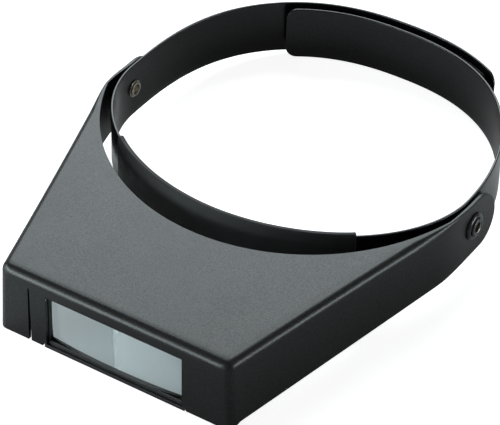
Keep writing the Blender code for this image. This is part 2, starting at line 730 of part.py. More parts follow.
def eyelet_profile():
    """Profile of the eyelet: a tube with a curled flange outside and a flat lip inside."""
    middle = (EYELET_FLANGE + EYELET_BORE) / 2
    reach = (EYELET_FLANGE - EYELET_BORE) / 2
    curl = [
        (EYELET_SEAT + EYELET_CURL * math.sin(turn), middle + reach * math.cos(turn))
        for turn in spaced(0, math.pi, 2 * DOME_STEPS)
    ]
    lip_end = LIP_FACE - EYELET_LIP_THICK
    lip = [(lip_end, EYELET_BORE), (lip_end, EYELET_LIP), (LIP_FACE, EYELET_LIP), (LIP_FACE, EYELET_RADIUS)]
    return curl + lip + [(EYELET_SEAT, EYELET_RADIUS)]


def pivot_hardware(parent):
    """Eyelet, domed ring, spacer and inner washer of each side."""
    for side, hand in ((1, "right"), (-1, "left")):
        turned_ring(f"pivot_eyelet_{hand}", side, eyelet_profile(), parent, "eyelet_brass")
        turned_ring(f"pivot_cup_{hand}", side, cup_profile(), parent, "cup_black")
        spacer = flat_ring(SPACER_FACE, SPACER_THICK, SPACER_RADIUS)
        turned_ring(f"pivot_spacer_{hand}", side, spacer, parent, "spacer_nylon")
        washer = flat_ring(WASHER_FACE, -WASHER_THICK, WASHER_RADIUS)
        turned_ring(f"pivot_washer_{hand}", side, washer, parent, "eyelet_brass")


def main():
    """Build the headband, the hood and the lens in order."""
    clear_scene()
    headband = add_empty("headband_pivot", PIVOT_PLACE, -STAND_TILT)
    visor = add_empty("visor_pivot", (0, 0, 0), 0, headband)
    carrier = add_empty("lens_slide", (0, 0, 0), 0, visor)
    headband_strip(headband)
    tail_tape(headband)
    forehead_pad(headband)
    pivot_hardware(headband)
    visor_shell(visor)
    lens_frame(carrier)
    lens_half("lens_right", 1, carrier)
    lens_half("lens_left", -1, carrier)


main()
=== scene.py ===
"""Head visor magnifier, dressed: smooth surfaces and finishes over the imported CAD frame, in a white studio.

The shapes are worked out in the headband's own frame: the pivot axis is X through its origin, Z runs across
the strip and the hood's front faces -Y. STAND carries them to the row frame, in metres.
"""

import json
import logging
import math
from abc import ABC, abstractmethod
from dataclasses import dataclass
from enum import Enum
from functools import partial
from typing import Any, Callable, Iterable, Sequence

import bmesh
import bpy
import numpy as np
from mathutils import Matrix, Vector


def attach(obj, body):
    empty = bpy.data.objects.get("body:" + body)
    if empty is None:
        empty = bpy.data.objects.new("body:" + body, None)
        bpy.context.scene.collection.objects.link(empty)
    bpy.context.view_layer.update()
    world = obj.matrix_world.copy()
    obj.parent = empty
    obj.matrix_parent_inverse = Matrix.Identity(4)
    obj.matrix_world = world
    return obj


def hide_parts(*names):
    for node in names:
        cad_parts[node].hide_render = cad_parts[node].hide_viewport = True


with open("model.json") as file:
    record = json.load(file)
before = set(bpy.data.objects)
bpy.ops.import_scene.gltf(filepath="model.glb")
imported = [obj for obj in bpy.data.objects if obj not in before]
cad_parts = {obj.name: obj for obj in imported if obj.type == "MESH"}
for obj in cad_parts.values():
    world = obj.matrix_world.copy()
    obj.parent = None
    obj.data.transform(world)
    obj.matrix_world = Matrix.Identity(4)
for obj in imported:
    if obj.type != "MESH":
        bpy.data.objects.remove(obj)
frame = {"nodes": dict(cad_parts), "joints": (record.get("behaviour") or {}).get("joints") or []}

MM = 0.001
MERGE_DISTANCE = 0.001 * MM
SHARP_ANGLE = math.radians(35)  # past this an edge stays sharp
BEVEL_ANGLE = math.radians(50)  # past this an edge is rounded
FLAT_ANGLE = math.radians(0.5)  # below this two faces are one
DRILL_STEPS = 64
NOISE_ROUGHNESS = 0.55
NOISE_MIDDLE = (0.3, 0.7)  # most of a noise's values lie between these
LOG = logging.getLogger("visor_scene")
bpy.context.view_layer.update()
Array = np.ndarray
Piece = bpy.types.Object
Socket = bpy.types.NodeSocket
Colour = tuple[float, float, float]
Pair = tuple[float, float]


class Body(str, Enum):
    """CAD bodies that a piece can ride on."""

    HEADBAND = "headband"
    VISOR = "visor"
    CARRIER = "lens_carrier"


class Slot(str, Enum):
    """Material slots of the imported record."""

    HOOD = "hood"
    STRIP = "strip"
    TAPE = "tape"
    SLEEVE = "sleeve"
    EYELET = "eyelet"
    CUP = "cup"
    SPACER = "spacer"
    FRAME = "frame"
    LENS = "lens"


class Side(Enum):
    """Wearer's sides, as the sign of X."""

    RIGHT = 1
    LEFT = -1

    @property
    def hand(self) -> str:
        """Word that ends the names of this side's nodes."""
        return self.name.lower()


@dataclass(frozen=True)
class Stand:
    """How the headband's own frame sits in the row frame.

    Attributes:
        pivot: middle of the pivot axis in the row frame.
        lean: angle about X by which the headband leans back.
    """

    pivot: tuple[float, float, float]
    lean: float

    @classmethod
    def from_joints(cls, joints: Sequence[dict[str, Any]]) -> "Stand":
        """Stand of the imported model: the hinge gives the pivot and the slide gives the lean.

        Args:
            joints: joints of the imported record.

        Returns:
            The stand that carries local points to the row frame.
        """
        named = {joint["name"]: joint for joint in joints}
        return cls(tuple(named["visor_tilt"]["pos_m"]), math.asin(-named["lens_slide"]["axis"][1]))

    def matrix(self) -> Array:
        """Rotation of the lean: y' = y cos + z sin, z' = z cos - y sin."""
        cos, sin = math.cos(self.lean), math.sin(self.lean)
        return np.array(((1, 0, 0), (0, cos, sin), (0, -sin, cos)))

    def to_row(self, points: Array) -> Array:
        """Points of the headband's frame, leant back and moved to the pivot."""
        return points @ self.matrix().T + np.array(self.pivot)


STAND = Stand.from_joints(frame["joints"])


def ease(share: Array | float) -> Array:
    """Smooth step: the share is held to 0..1, then s * s * (3 - 2 s)."""
    held = np.clip(share, 0, 1)
    return held * held * (3 - 2 * held)


def corner_cut(distance: Array, radius: float) -> Array:
    """Height lost to a round corner: its radius less the circle's height at a distance from the tip."""
    reach = radius - np.clip(distance, 0, radius)
    return radius - np.sqrt(radius * radius - reach * reach)


def quarter_turn(steps: int) -> Array:
    """Angles from 0 to a quarter turn."""
    return np.linspace(0, math.pi / 2, steps + 1)


def full_turn(steps: int) -> Array:
    """Angles round a circle, without the last, which is the first again."""
    return np.linspace(0, 2 * math.pi, steps, endpoint=False)


def points_of(*axes: Array | float) -> Array:
    """Points from their coordinates, which are stretched to one shape."""
    return np.stack(np.broadcast_arrays(*axes), axis=-1)


def direction(azimuth: float, elevation: float) -> Array:
    """Unit vector at degrees from the front towards +X, and above the level."""
    a, e = math.radians(azimuth), math.radians(elevation)
    return np.array((math.sin(a) * math.cos(e), -math.cos(a) * math.cos(e), math.sin(e)))


def ring_quads(rows: int, columns: int) -> Array:
    """Quads of a tube: each joins columns c and c + 1, wrapped, of rings r and r + 1.

    Args:
        rows: number of rings.
        columns: points of each ring.

    Returns:
        Array of four point indices for each quad.
    """
    first = np.arange(rows - 1)[:, None] * columns
    here = np.arange(columns)[None, :]
    after = (here + 1) % columns
    quads = points_of(first + here, first + after, first + columns + after, first + columns + here)
    return quads.reshape(-1, 4)


def run_lengths(points: Array, axis: int) -> Array:
    """Mean distance run along one axis of a grid of points, from 0."""
    steps = np.linalg.norm(np.diff(points, axis=axis), axis=-1)
    return np.concatenate(([0.0], np.cumsum(steps.mean(axis=1 - axis))))


def add_object(name: str, data: bpy.types.ID) -> Piece:
    """New object of the scene, at the origin."""
    piece = bpy.data.objects.new(name, data)
    bpy.context.scene.collection.objects.link(piece)
    return piece


def add_mesh(name: str, points: Array, faces: Sequence[Sequence[int]]) -> Piece:
    """New object with a mesh of points, in metres, and faces."""
    mesh = bpy.data.meshes.new(name)
    mesh.from_pydata(points.tolist(), [], faces)
    return add_object(name, mesh)


def add_tube(name: str, rings: Array, capped: bool = True) -> Piece:
    """Tube through a row of equal closed rings, with a UV map in metres along and round it.

    Args:
        name: name of the piece.
        rings: points, as rings by columns by three, in the headband's frame.
        capped: closes both ends with flat faces; otherwise the last ring joins the first.

    Returns:
        The new object, with its faces pointing outwards.
    """
    if not capped:
        rings = np.concatenate((rings, rings[:1]))
    rows, columns = rings.shape[:2]
    around = np.concatenate((rings, rings[:, :1]), axis=1)
    along, across = run_lengths(around, 0), run_lengths(around, 1)
    quads = ring_quads(rows, columns)
    row, column = np.divmod(np.arange(len(quads))[:, None], columns)
    uv = points_of(along[row + (0, 0, 1, 1)], across[column + (0, 1, 1, 0)]).reshape(-1, 2)
    faces = quads.tolist()
    if capped:
        faces += [list(range(columns)), list(range((rows - 1) * columns, rows * columns))]
        uv = np.concatenate((uv, np.zeros((2 * columns, 2))))
    piece = add_mesh(name, STAND.to_row(rings.reshape(-1, 3)), faces)
    piece.data.uv_layers.new(name="run").data.foreach_set("uv", uv.astype(np.float32).ravel())
    close_mesh(piece)
    return piece


def add_prism(name: str, outline: Array, ends: Pair, axis: int = 2) -> Piece:
    """Prism: a flat outline carried along one axis and closed at both ends.

    Args:
        name: name of the object.
        outline: points, as the two coordinates across the axis.
        ends: places of both ends along the axis.
        axis: number of the axis, from X.

    Returns:
        The new object.
    """
    flat = np.broadcast_to(outline, (2, *outline.shape))
    return add_tube(name, np.insert(flat, axis, np.array(ends)[:, None], axis=-1))


def add_drill(name: str, radius: float, reach: float) -> Piece:
    """Rod along the pivot axis: a circle in Y and Z, carried to a reach on both sides."""
    turn = full_turn(DRILL_STEPS)
    return add_prism(name, radius * points_of(np.cos(turn), np.sin(turn)), (-reach, reach), axis=0)


def close_mesh(piece: Piece) -> None:
    """Merge doubles, turn the faces outwards and shade smooth, with the sharp edges kept."""
    shape = bmesh.new()
    shape.from_mesh(piece.data)
    bmesh.ops.remove_doubles(shape, verts=shape.verts, dist=MERGE_DISTANCE)
    bmesh.ops.recalc_face_normals(shape, faces=shape.faces)
    if shape.calc_volume(signed=True) < 0:
        bmesh.ops.reverse_faces(shape, faces=shape.faces)
    shape.to_mesh(piece.data)
    shape.free()
    piece.data.shade_smooth()
    piece.data.set_sharp_from_angle(angle=SHARP_ANGLE)


def apply_modifiers(piece: Piece) -> None:
    """Replace a piece's mesh by the one that its modifiers make."""
    graph = bpy.context.evaluated_depsgraph_get()
    made = bpy.data.meshes.new_from_object(piece.evaluated_get(graph))
    piece.modifiers.clear()
    piece.data = made


def cut_and_join(piece: Piece, steps: Iterable[tuple[Piece, str]]) -> None:
    """Carry out Boolean steps on a piece, one by one, and remove the tools.

    Args:
        piece: object to cut.
        steps: tool and operation of each step, in order.
    """
    for tool, operation in steps:
        modifier = piece.modifiers.new(tool.name, "BOOLEAN")
        modifier.operation = operation
        modifier.solver = "EXACT"
        modifier.object = tool
        apply_modifiers(piece)
        bpy.data.objects.remove(tool, do_unlink=True)
        close_mesh(piece)


def soften(piece: Piece, width: float, segments: int = 2) -> None:
    """Round a piece's sharp edges and weight its normals by face size, so flat faces stay flat.

    Args:
        piece: object to finish.
        width: width of the rounded edge in metres.
        segments: steps across the rounded edge.
    """
    bevel = piece.modifiers.new("rounded_edges", "BEVEL")
    bevel.width = width
    bevel.segments = segments
    bevel.limit_method = "ANGLE"
    bevel.angle_limit = BEVEL_ANGLE
    bevel.use_clamp_overlap = True
    apply_modifiers(piece)
    piece.data.shade_smooth()
    weigh = piece.modifiers.new("flat_faces", "WEIGHTED_NORMAL")
    weigh.keep_sharp = True
    apply_modifiers(piece)


class NodeSheet:
    """Node tree of a material or a world, with short calls to add nodes and join them."""

    def __init__(
        self, owner: bpy.types.Material | bpy.types.World, shader: str = "Principled BSDF"
    ) -> None:
        """Start the nodes of an owner from its own shader."""
        owner.use_nodes = True
        self.tree = owner.node_tree
        self.shader = self.tree.nodes[shader]

    def wire(self, node: bpy.types.Node, inputs: dict[str | int, Any]) -> bpy.types.Node:
        """Give a node's inputs, by name or number, values or join other sockets to them."""
        for key, value in inputs.items():
            if isinstance(value, Socket):
                self.tree.links.new(value, node.inputs[key])
            else:
                node.inputs[key].default_value = value
        return node

    def shade(self, inputs: dict[str | int, Any]) -> None:
        """Give the shader's inputs values or sockets."""
        self.wire(self.shader, inputs)

    def add(self, kind: str, inputs: dict[str | int, Any] | None = None, **settings: Any) -> bpy.types.Node:
        """Node of one kind.

        Args:
            kind: Blender's name of the node type, without its prefix.
            inputs: values or source sockets by input.
            settings: properties of the node.

        Returns:
            The new node.
        """
        node = self.tree.nodes.new(f"ShaderNode{kind}")
        for key, value in settings.items():
            setattr(node, key, value)
        return self.wire(node, inputs or {})

    def place(self) -> Socket:
        """Object coordinates, in metres of the row frame."""
        return self.add("TexCoord").outputs["Object"]

    def run(self) -> Socket:
        """The piece's own UV map, in metres along and round it."""
        return self.add("UVMap", uv_map="run").outputs["UV"]

    def part(self, vector: Socket, axis: str) -> Socket:
        """One coordinate of a vector."""
        return self.add("SeparateXYZ", {"Vector": vector}).outputs[axis]

    def noise(self, vector: Socket, size: float, detail: float = 2.0) -> Socket:
        """Noise with cells of a size in metres."""
        inputs = {"Vector": vector, "Scale": 1 / size, "Detail": detail, "Roughness": NOISE_ROUGHNESS}
        return self.add("TexNoise", inputs).outputs["Fac"]

    def spread(self, source: Socket, low: float, high: float) -> Socket:
        """Map the middle of a noise's range to two values."""
        start, end = NOISE_MIDDLE
        inputs = {"Value": source, "From Min": start, "From Max": end, "To Min": low, "To Max": high}
        return self.add("MapRange", inputs).outputs["Result"]

    def tint(self, share: Socket, first: Colour, second: Colour | Socket) -> Socket:
        """Colour between a first and a second by a share."""
        end = second if isinstance(second, Socket) else (*second, 1)
        return self.add("Mix", {"Factor": share, 6: (*first, 1), 7: end}, data_type="RGBA").outputs[2]

    def math(self, operation: str, first: Any, second: Any = 0.0, third: Any = 0.0) -> Socket:
        """Result of one Math node."""
        return self.add("Math", {0: first, 1: second, 2: third}, operation=operation).outputs[0]

    def blend(self, first: Socket, second: Socket, weight: float) -> Socket:
        """Two patterns added up, the first by its weight and the second by the rest of 1."""
        rest = self.math("MULTIPLY", second, 1 - weight)
        return self.math("ADD", self.math("MULTIPLY", first, weight), rest)

    def raise_bumps(self, height: Socket, depth: float) -> None:
        """Join a height pattern to the shader as bumps of a depth in metres."""
        inputs = {"Height": height, "Distance": depth, "Strength": 1.0}
        self.shade({"Normal": self.add("Bump", inputs).outputs["Normal"]})


@dataclass(frozen=True)
class Finish(ABC):
    """Procedural finish of a piece.

    Attributes:
        name: name of the material.
        dark: darkest colour of its pattern.
        light: lightest colour of its pattern.
    """

    name: str
    dark: Colour
    light: Colour

    def material(self) -> bpy.types.Material:
        """The finish's material, painted when it is first asked for."""
        known = bpy.data.materials.get(self.name)
        if known:
            return known
        made = bpy.data.materials.new(self.name)
        self.paint(NodeSheet(made))
        return made

    @abstractmethod
    def paint(self, sheet: NodeSheet) -> None:
        """Add the finish's own nodes to a sheet."""


@dataclass(frozen=True)
class MouldedPlastic(Finish):
    """Satin black moulding with a fine spark-eroded grain.

    Attributes:
        roughness: lowest and highest roughness.
        grain: size of the grain in metres.
        depth: depth of the grain in metres.
        specular: lowest and highest strength of the mirrored light, about 0.5 for common plastic.
        patch: size of the slow changes of tone, in grains.
        fine_share: share of the grain in the tone.
    """

    roughness: Pair
    grain: float = 0.55 * MM
    depth: float = 0.045 * MM
    specular: Pair = (0.42, 0.58)
    patch: float = 40.0
    fine_share: float = 0.65

    def paint(self, sheet: NodeSheet) -> None:
        """Grain from fine noise, and slow changes of tone and gloss from coarse noise."""
        place = sheet.place()
        fine = sheet.noise(place, self.grain, detail=3)
        tone = sheet.blend(fine, sheet.noise(place, self.patch * self.grain), self.fine_share)
        sheet.shade({
            "Base Color": sheet.tint(sheet.spread(tone, 0, 1), self.dark, self.light),
            "Roughness": sheet.spread(tone, *self.roughness),
            "Specular IOR Level": sheet.spread(fine, *self.specular),
        })
        sheet.raise_bumps(fine, self.depth)


@dataclass(frozen=True)
class SleeveCloth(Finish):
    """Thin black coated fabric with a close plain weave.

    Attributes:
        roughness: lowest and highest roughness.
        pitch: distance between threads in metres.
        depth: depth of the weave in metres.
        patch: size of the slow changes of tone in metres.
        sheen: weight of the sheen.
        sheen_roughness: roughness of the sheen.
        specular: strength of the mirrored light.
    """

    roughness: Pair
    pitch: float = 0.45 * MM
    depth: float = 0.05 * MM
    patch: float = 6 * MM
    sheen: float = 0.03
    sheen_roughness: float = 0.5
    specular: float = 0.2

    def paint(self, sheet: NodeSheet) -> None:
        """Weave: half of 1 + sine of the run along times sine of the run round, with noise over it."""
        run = sheet.run()
        turns = 2 * math.pi / self.pitch
        warp, weft = (
            sheet.math("SINE", sheet.math("MULTIPLY", sheet.part(run, axis), turns)) for axis in ("X", "Y")
        )
        weave = sheet.math("ADD", sheet.math("MULTIPLY", sheet.math("MULTIPLY", warp, weft), 0.5), 0.5)
        drift = sheet.noise(sheet.place(), self.patch)
        sheet.shade({
            "Base Color": sheet.tint(sheet.blend(weave, drift, 0.5), self.dark, self.light),
            "Roughness": sheet.spread(drift, *self.roughness),
            "Specular IOR Level": self.specular,
            "Sheen Weight": self.sheen,
            "Sheen Roughness": self.sheen_roughness,
        })
        sheet.raise_bumps(weave, self.depth)


@dataclass(frozen=True)
class TapePile(Finish):
    """Hook or loop face of a fastening tape: a dull, fuzzy pile.

    Attributes:
        tuft: size of a tuft in metres.
        depth: depth of the pile in metres.
        gaps: how far the pile sinks between tufts, which also sets the painted shade there.
        roughness: roughness of the pile.
        sheen: weight of the sheen.
    """

    tuft: float
    depth: float = 0.5 * MM
    gaps: float = 0.8
    roughness: float = 0.95
    sheen: float = 0.25

    def paint(self, sheet: NodeSheet) -> None:
        """Tufts: the cells of a Voronoi pattern, roughened by noise a third of their size; the colour follows
        their height, darker in the gaps as painted shade.
        """
        place = sheet.place()
        cells = sheet.add("TexVoronoi", {"Vector": place, "Scale": 1 / self.tuft}).outputs["Distance"]
        fuzz = sheet.noise(place, self.tuft / 3, detail=4)
        height = sheet.math("SUBTRACT", fuzz, sheet.math("MULTIPLY", cells, self.gaps))
        # Tone by height: random from the fuzz, and darker where the pile sinks between tufts, which is
        # painted shade.
        colour = sheet.tint(height, self.dark, self.light)
        sheet.shade({"Base Color": colour, "Roughness": self.roughness, "Sheen Weight": self.sheen})
        sheet.raise_bumps(height, self.depth)


@dataclass(frozen=True)
class TurnedMetal(Finish):
    """Plated metal with fine turning marks and a little tarnish, the dark colour.

    Attributes:
        roughness: lowest and highest roughness.
        lacquer: black on the lacquered stretch.
        painted: length of that stretch from the start of the profile, in metres.
        marks: width of the turning marks in metres.
        stretch: scale of the marks round the axis.
        marks_depth: depth of the marks in metres.
        stain: size of a patch of tarnish in metres.
    """

    roughness: Pair
    lacquer: Colour = (0.012, 0.0125, 0.0125)
    painted: float = 0.0
    marks: float = 0.12 * MM
    stretch: float = 0.06
    marks_depth: float = 0.01 * MM
    stain: float = 1.6 * MM

    def paint(self, sheet: NodeSheet) -> None:
        """Marks: noise drawn out round the axis by the UV run; tarnish: slow noise; lacquer by UV."""
        run = sheet.run()
        drawn = sheet.add("Mapping", {"Vector": run, "Scale": (self.stretch, 1, 1)}).outputs["Vector"]
        marks = sheet.noise(drawn, self.marks, detail=3)
        tarnish = sheet.noise(sheet.place(), self.stain, detail=3)
        colour = sheet.tint(sheet.spread(tarnish, 0, 1), self.light, self.dark)
        bare = sheet.math("GREATER_THAN", sheet.part(run, "Y"), self.painted)
        sheet.shade({
            "Base Color": sheet.tint(bare, self.lacquer, colour),
            "Roughness": sheet.spread(marks, *self.roughness),
            "Metallic": bare,
        })
        sheet.raise_bumps(marks, self.marks_depth)


@dataclass(frozen=True)
class LensGlass(Finish):
    """Clear, faintly blue-grey optical plastic, with painted shade that makes it a little darker across each
    half.

    Attributes:
        half: width of a half in metres.
        smear: lowest and highest roughness of the surface.
        patch: size of a smear in metres.
        ior: index of refraction.
    """

    half: float
    smear: Pair
    patch: float = 9 * MM
    ior: float = 1.49

    def paint(self, sheet: NodeSheet) -> None:
        """Clear body: the share of the way across a half darkens its tone as painted shade, and slow noise
        sets its roughness.
        """
        place = sheet.place()
        share = sheet.math("FRACT", sheet.math("DIVIDE", sheet.part(place, "X"), self.half))
        sheet.shade({
            # Painted shade: the base colour goes from the light tint to the dark one across each half.
            "Base Color": sheet.tint(share, self.light, self.dark),
            "Roughness": sheet.spread(sheet.noise(place, self.patch, detail=4), *self.smear),
            "Transmission Weight": 1,
            "IOR": self.ior,
        })


HOOD_FINISH = MouldedPlastic(
    "hood_satin_black", (0.003, 0.0036, 0.004), (0.006, 0.007, 0.0075), (0.33, 0.40), specular=(0.22, 0.42)
)
STRIP_FINISH = MouldedPlastic(
    "strip_satin_black", (0.002, 0.0023, 0.0026), (0.004, 0.0044, 0.005), (0.20, 0.28),
    0.6 * MM, 0.010 * MM, (0.26, 0.40),
)
FRAME_FINISH = MouldedPlastic(
    "frame_black", (0.006, 0.0065, 0.007), (0.009, 0.0096, 0.0102), (0.34, 0.44), 0.5 * MM, 0.015 * MM
)
CUP_FINISH = MouldedPlastic(
    "cup_black", (0.005, 0.005, 0.0055), (0.008, 0.008, 0.0085), (0.17, 0.25), 0.4 * MM, 0.004 * MM
)
SPACER_FINISH = MouldedPlastic("spacer_nylon", (0.010, 0.010, 0.010), (0.014, 0.014, 0.014), (0.55, 0.65))
SLEEVE_FINISH = SleeveCloth(
    "sleeve_black_cloth", (0.003, 0.003, 0.0035), (0.006, 0.006, 0.0066), (0.40, 0.52)
)
HOOK_FINISH = TapePile("hook_tape", (0.004, 0.004, 0.004), (0.014, 0.014, 0.015), 0.9 * MM)
LOOP_FINISH = TapePile("loop_tape", (0.004, 0.004, 0.004), (0.016, 0.016, 0.017), 1.4 * MM)
BRASS_COLOURS = (0.20, 0.185, 0.155), (0.46, 0.43, 0.37)
WASHER_FINISH = TurnedMetal("washer_brass", *BRASS_COLOURS, (0.18, 0.30))
EYELET_FINISH = TurnedMetal("eyelet_brass", *BRASS_COLOURS, (0.18, 0.30), painted=2.2 * MM)
# Lens: light is its clear tint, and dark is the end of the painted shade across each half.
LENS_FINISH = LensGlass("lens_clear", (0.60, 0.70, 0.725), (0.84, 0.975, 1.0), 33.4 * MM, (0.0, 0.04))


def dress(piece: Piece, finish: Finish, body: Body, slot: Slot, *nodes: str) -> None:
    """Give a piece its finish and its body, and hide the CAD nodes that it stands for.

    Args:
        piece: finished object.
        finish: finish whose material it takes.
        body: CAD body that it moves with.
        slot: material slot of the record; not used.
        nodes: CAD nodes that it replaces.
    """
    piece.data.materials.clear()
    piece.data.materials.append(finish.material())
    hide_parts(*nodes)
    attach(piece, body.value)
    LOG.info("%s: %d faces, rides on %s", piece.name, len(piece.data.polygons), body.value)


@dataclass
class Headband:
    """Strip and tape, swept along the oval of the loop."""

    half_width: float = 86.7 * MM
    front: float = 67.0 * MM
    rear: float = 95.5 * MM
    front_fullness: float = 1.94
    rear_fullness: float = 2.31
    thick: float = 1.2 * MM
    width: float = 26.7 * MM
    drop: float = 14.1 * MM
    edge_round: float = 0.45 * MM
    outer_tail: float = math.radians(31.5)
    inner_tail: float = math.radians(35)
    tail_corner: float = 5.5 * MM
    tail_ease: float = math.radians(44)
    end_thin: float = 0.25
    gap: float = 0.3 * MM
    tape_thick: float = 1.8 * MM
    tape_width: float = 20.0 * MM
    tape_angle: float = math.radians(28)
    bore: float = 3.2 * MM
    step: float = math.radians(0.75)
    nudge: float = math.radians(0.05)
    end_steps: int = 16
    end_clear: float = 1.05
    round_steps: int = 5
    face_rows: int = 7

    @property
    def middle(self) -> float:
        """Height of the strip's middle line."""
        return self.width / 2 - self.drop

    def radius(self, angle: Array) -> Array:
        """Loop radius: (|cos / half width|^n + |sin / length|^n)^(-1/n), fuller behind than in front."""
        behind = np.sin(angle) > 0
        fullness = np.where(behind, self.rear_fullness, self.front_fullness)
        across = np.abs(np.cos(angle)) / self.half_width
        along = np.abs(np.sin(angle)) / np.where(behind, self.rear, self.front)
        return (across**fullness + along**fullness) ** (-1 / fullness)

    def on_loop(self, angle: Array) -> Array:
        """Points (x, y) of the loop at angles from the right pivot towards the back."""
        return self.radius(angle)[..., None] * points_of(np.cos(angle), np.sin(angle))

    def sweep(self, angle: Array, offset: Array, height: Array) -> Array:
        """Carry sections along the loop: loop point plus offset times the outward normal, at a height.

        Args:
            angle: angle of each ring.
            offset: outward offset of each point, as rings by columns.
            height: height of each point, as rings by columns.

        Returns:
            Points, as rings by columns by three.
        """
        tangent = self.on_loop(angle + self.nudge) - self.on_loop(angle - self.nudge)
        tangent /= np.linalg.norm(tangent, axis=-1, keepdims=True)
        outward = points_of(tangent[:, 1], -tangent[:, 0])
        plan = self.on_loop(angle)[:, None] + offset[..., None] * outward[:, None]
        return np.concatenate((plan, height[..., None]), axis=-1)

    def layer(self, angle: Array) -> Array:
        """Offset of the strip's layer: eased outwards on the left tail and inwards on the right tail."""
        spread = self.thick / 2 + self.gap + self.tape_thick + self.gap / 2
        left = spread * ease((math.pi - angle) / self.tail_ease)
        right = -spread * ease((angle - 2 * math.pi) / self.tail_ease)
        return np.where(angle < math.pi, left, right)

    def band(
        self, name: str, span: Pair, layer: Callable[[Array], Array], size: tuple[float, float, float]
    ) -> Piece:
        """Flat band along the loop: a rounded rectangle that narrows and thins at its two round ends.

        Args:
            name: name of the piece.
            span: first and last angle.
            layer: gives the offset at each angle.
            size: thickness, half width and end corner.

        Returns:
            The new object.
        """
        thick, half, corner = size
        radii = self.radius(np.array(span))
        close = corner * (1 - np.cos(quarter_turn(self.end_steps)))
        clear = self.end_clear * corner / radii.min()
        inner = np.arange(span[0] + clear, span[1] - clear, self.step)
        angle = np.concatenate((span[0] + close / radii[0], inner, (span[1] - close / radii[1])[::-1]))
        tip = np.minimum((angle - span[0]) * radii[0], (span[1] - angle) * radii[1])
        full = np.sqrt(1 - (1 - np.clip(tip / thick, 0, 1)) ** 2)
        thin = self.end_thin + (1 - self.end_thin) * full
        turn = quarter_turn(self.round_steps)
        out = thick / 2 - self.edge_round * (1 - np.cos(turn))
        up = half - self.edge_round * (1 - np.sin(turn))
        face = np.full(self.face_rows, thick / 2)
        rows = np.linspace(-1, 1, self.face_rows + 2)[1:-1] * (half - self.edge_round)
        offset = np.concatenate((face, out, -out[::-1], -face, -out, out[::-1]))
        height = np.concatenate((rows, up, up[::-1], rows[::-1], -up, -up[::-1]))
        narrow = (half - corner_cut(tip, corner)) / half
        offsets = layer(angle)[:, None] + offset * thin[:, None]
        heights = self.middle + height * narrow[:, None]
        return add_tube(name, self.sweep(angle, offsets, heights))

    def strip(self) -> None:
        """One strip from the outer tail, round the forehead, to the inner tail, drilled at the pivots."""
        span = (math.pi / 2 - self.outer_tail, 2.5 * math.pi + self.inner_tail)
        piece = self.band("strip_band", span, self.layer, (self.thick, self.width / 2, self.tail_corner))
        cut_and_join(piece, ((add_drill("strip_drill", self.bore, 2 * self.half_width), "DIFFERENCE"),))
        dress(piece, STRIP_FINISH, Body.HEADBAND, Slot.STRIP, "headband_strip")

    def tape(self) -> None:
        """Hook patch on the outer tail and loop patch on the inner tail, face to face."""
        span = (math.pi / 2 - self.tape_angle, math.pi / 2 + self.tape_angle)
        corner = self.tail_corner - (self.width - self.tape_width) / 2
        size = (self.tape_thick, self.tape_width / 2, corner)
        layer = (self.gap + self.tape_thick) / 2
        patches = (("hook_patch", layer, HOOK_FINISH), ("loop_patch", -layer, LOOP_FINISH))
        for name, offset, finish in patches:
            piece = self.band(f"{name}_pile", span, partial(np.full_like, fill_value=offset), size)
            dress(piece, finish, Body.HEADBAND, Slot.TAPE, name)


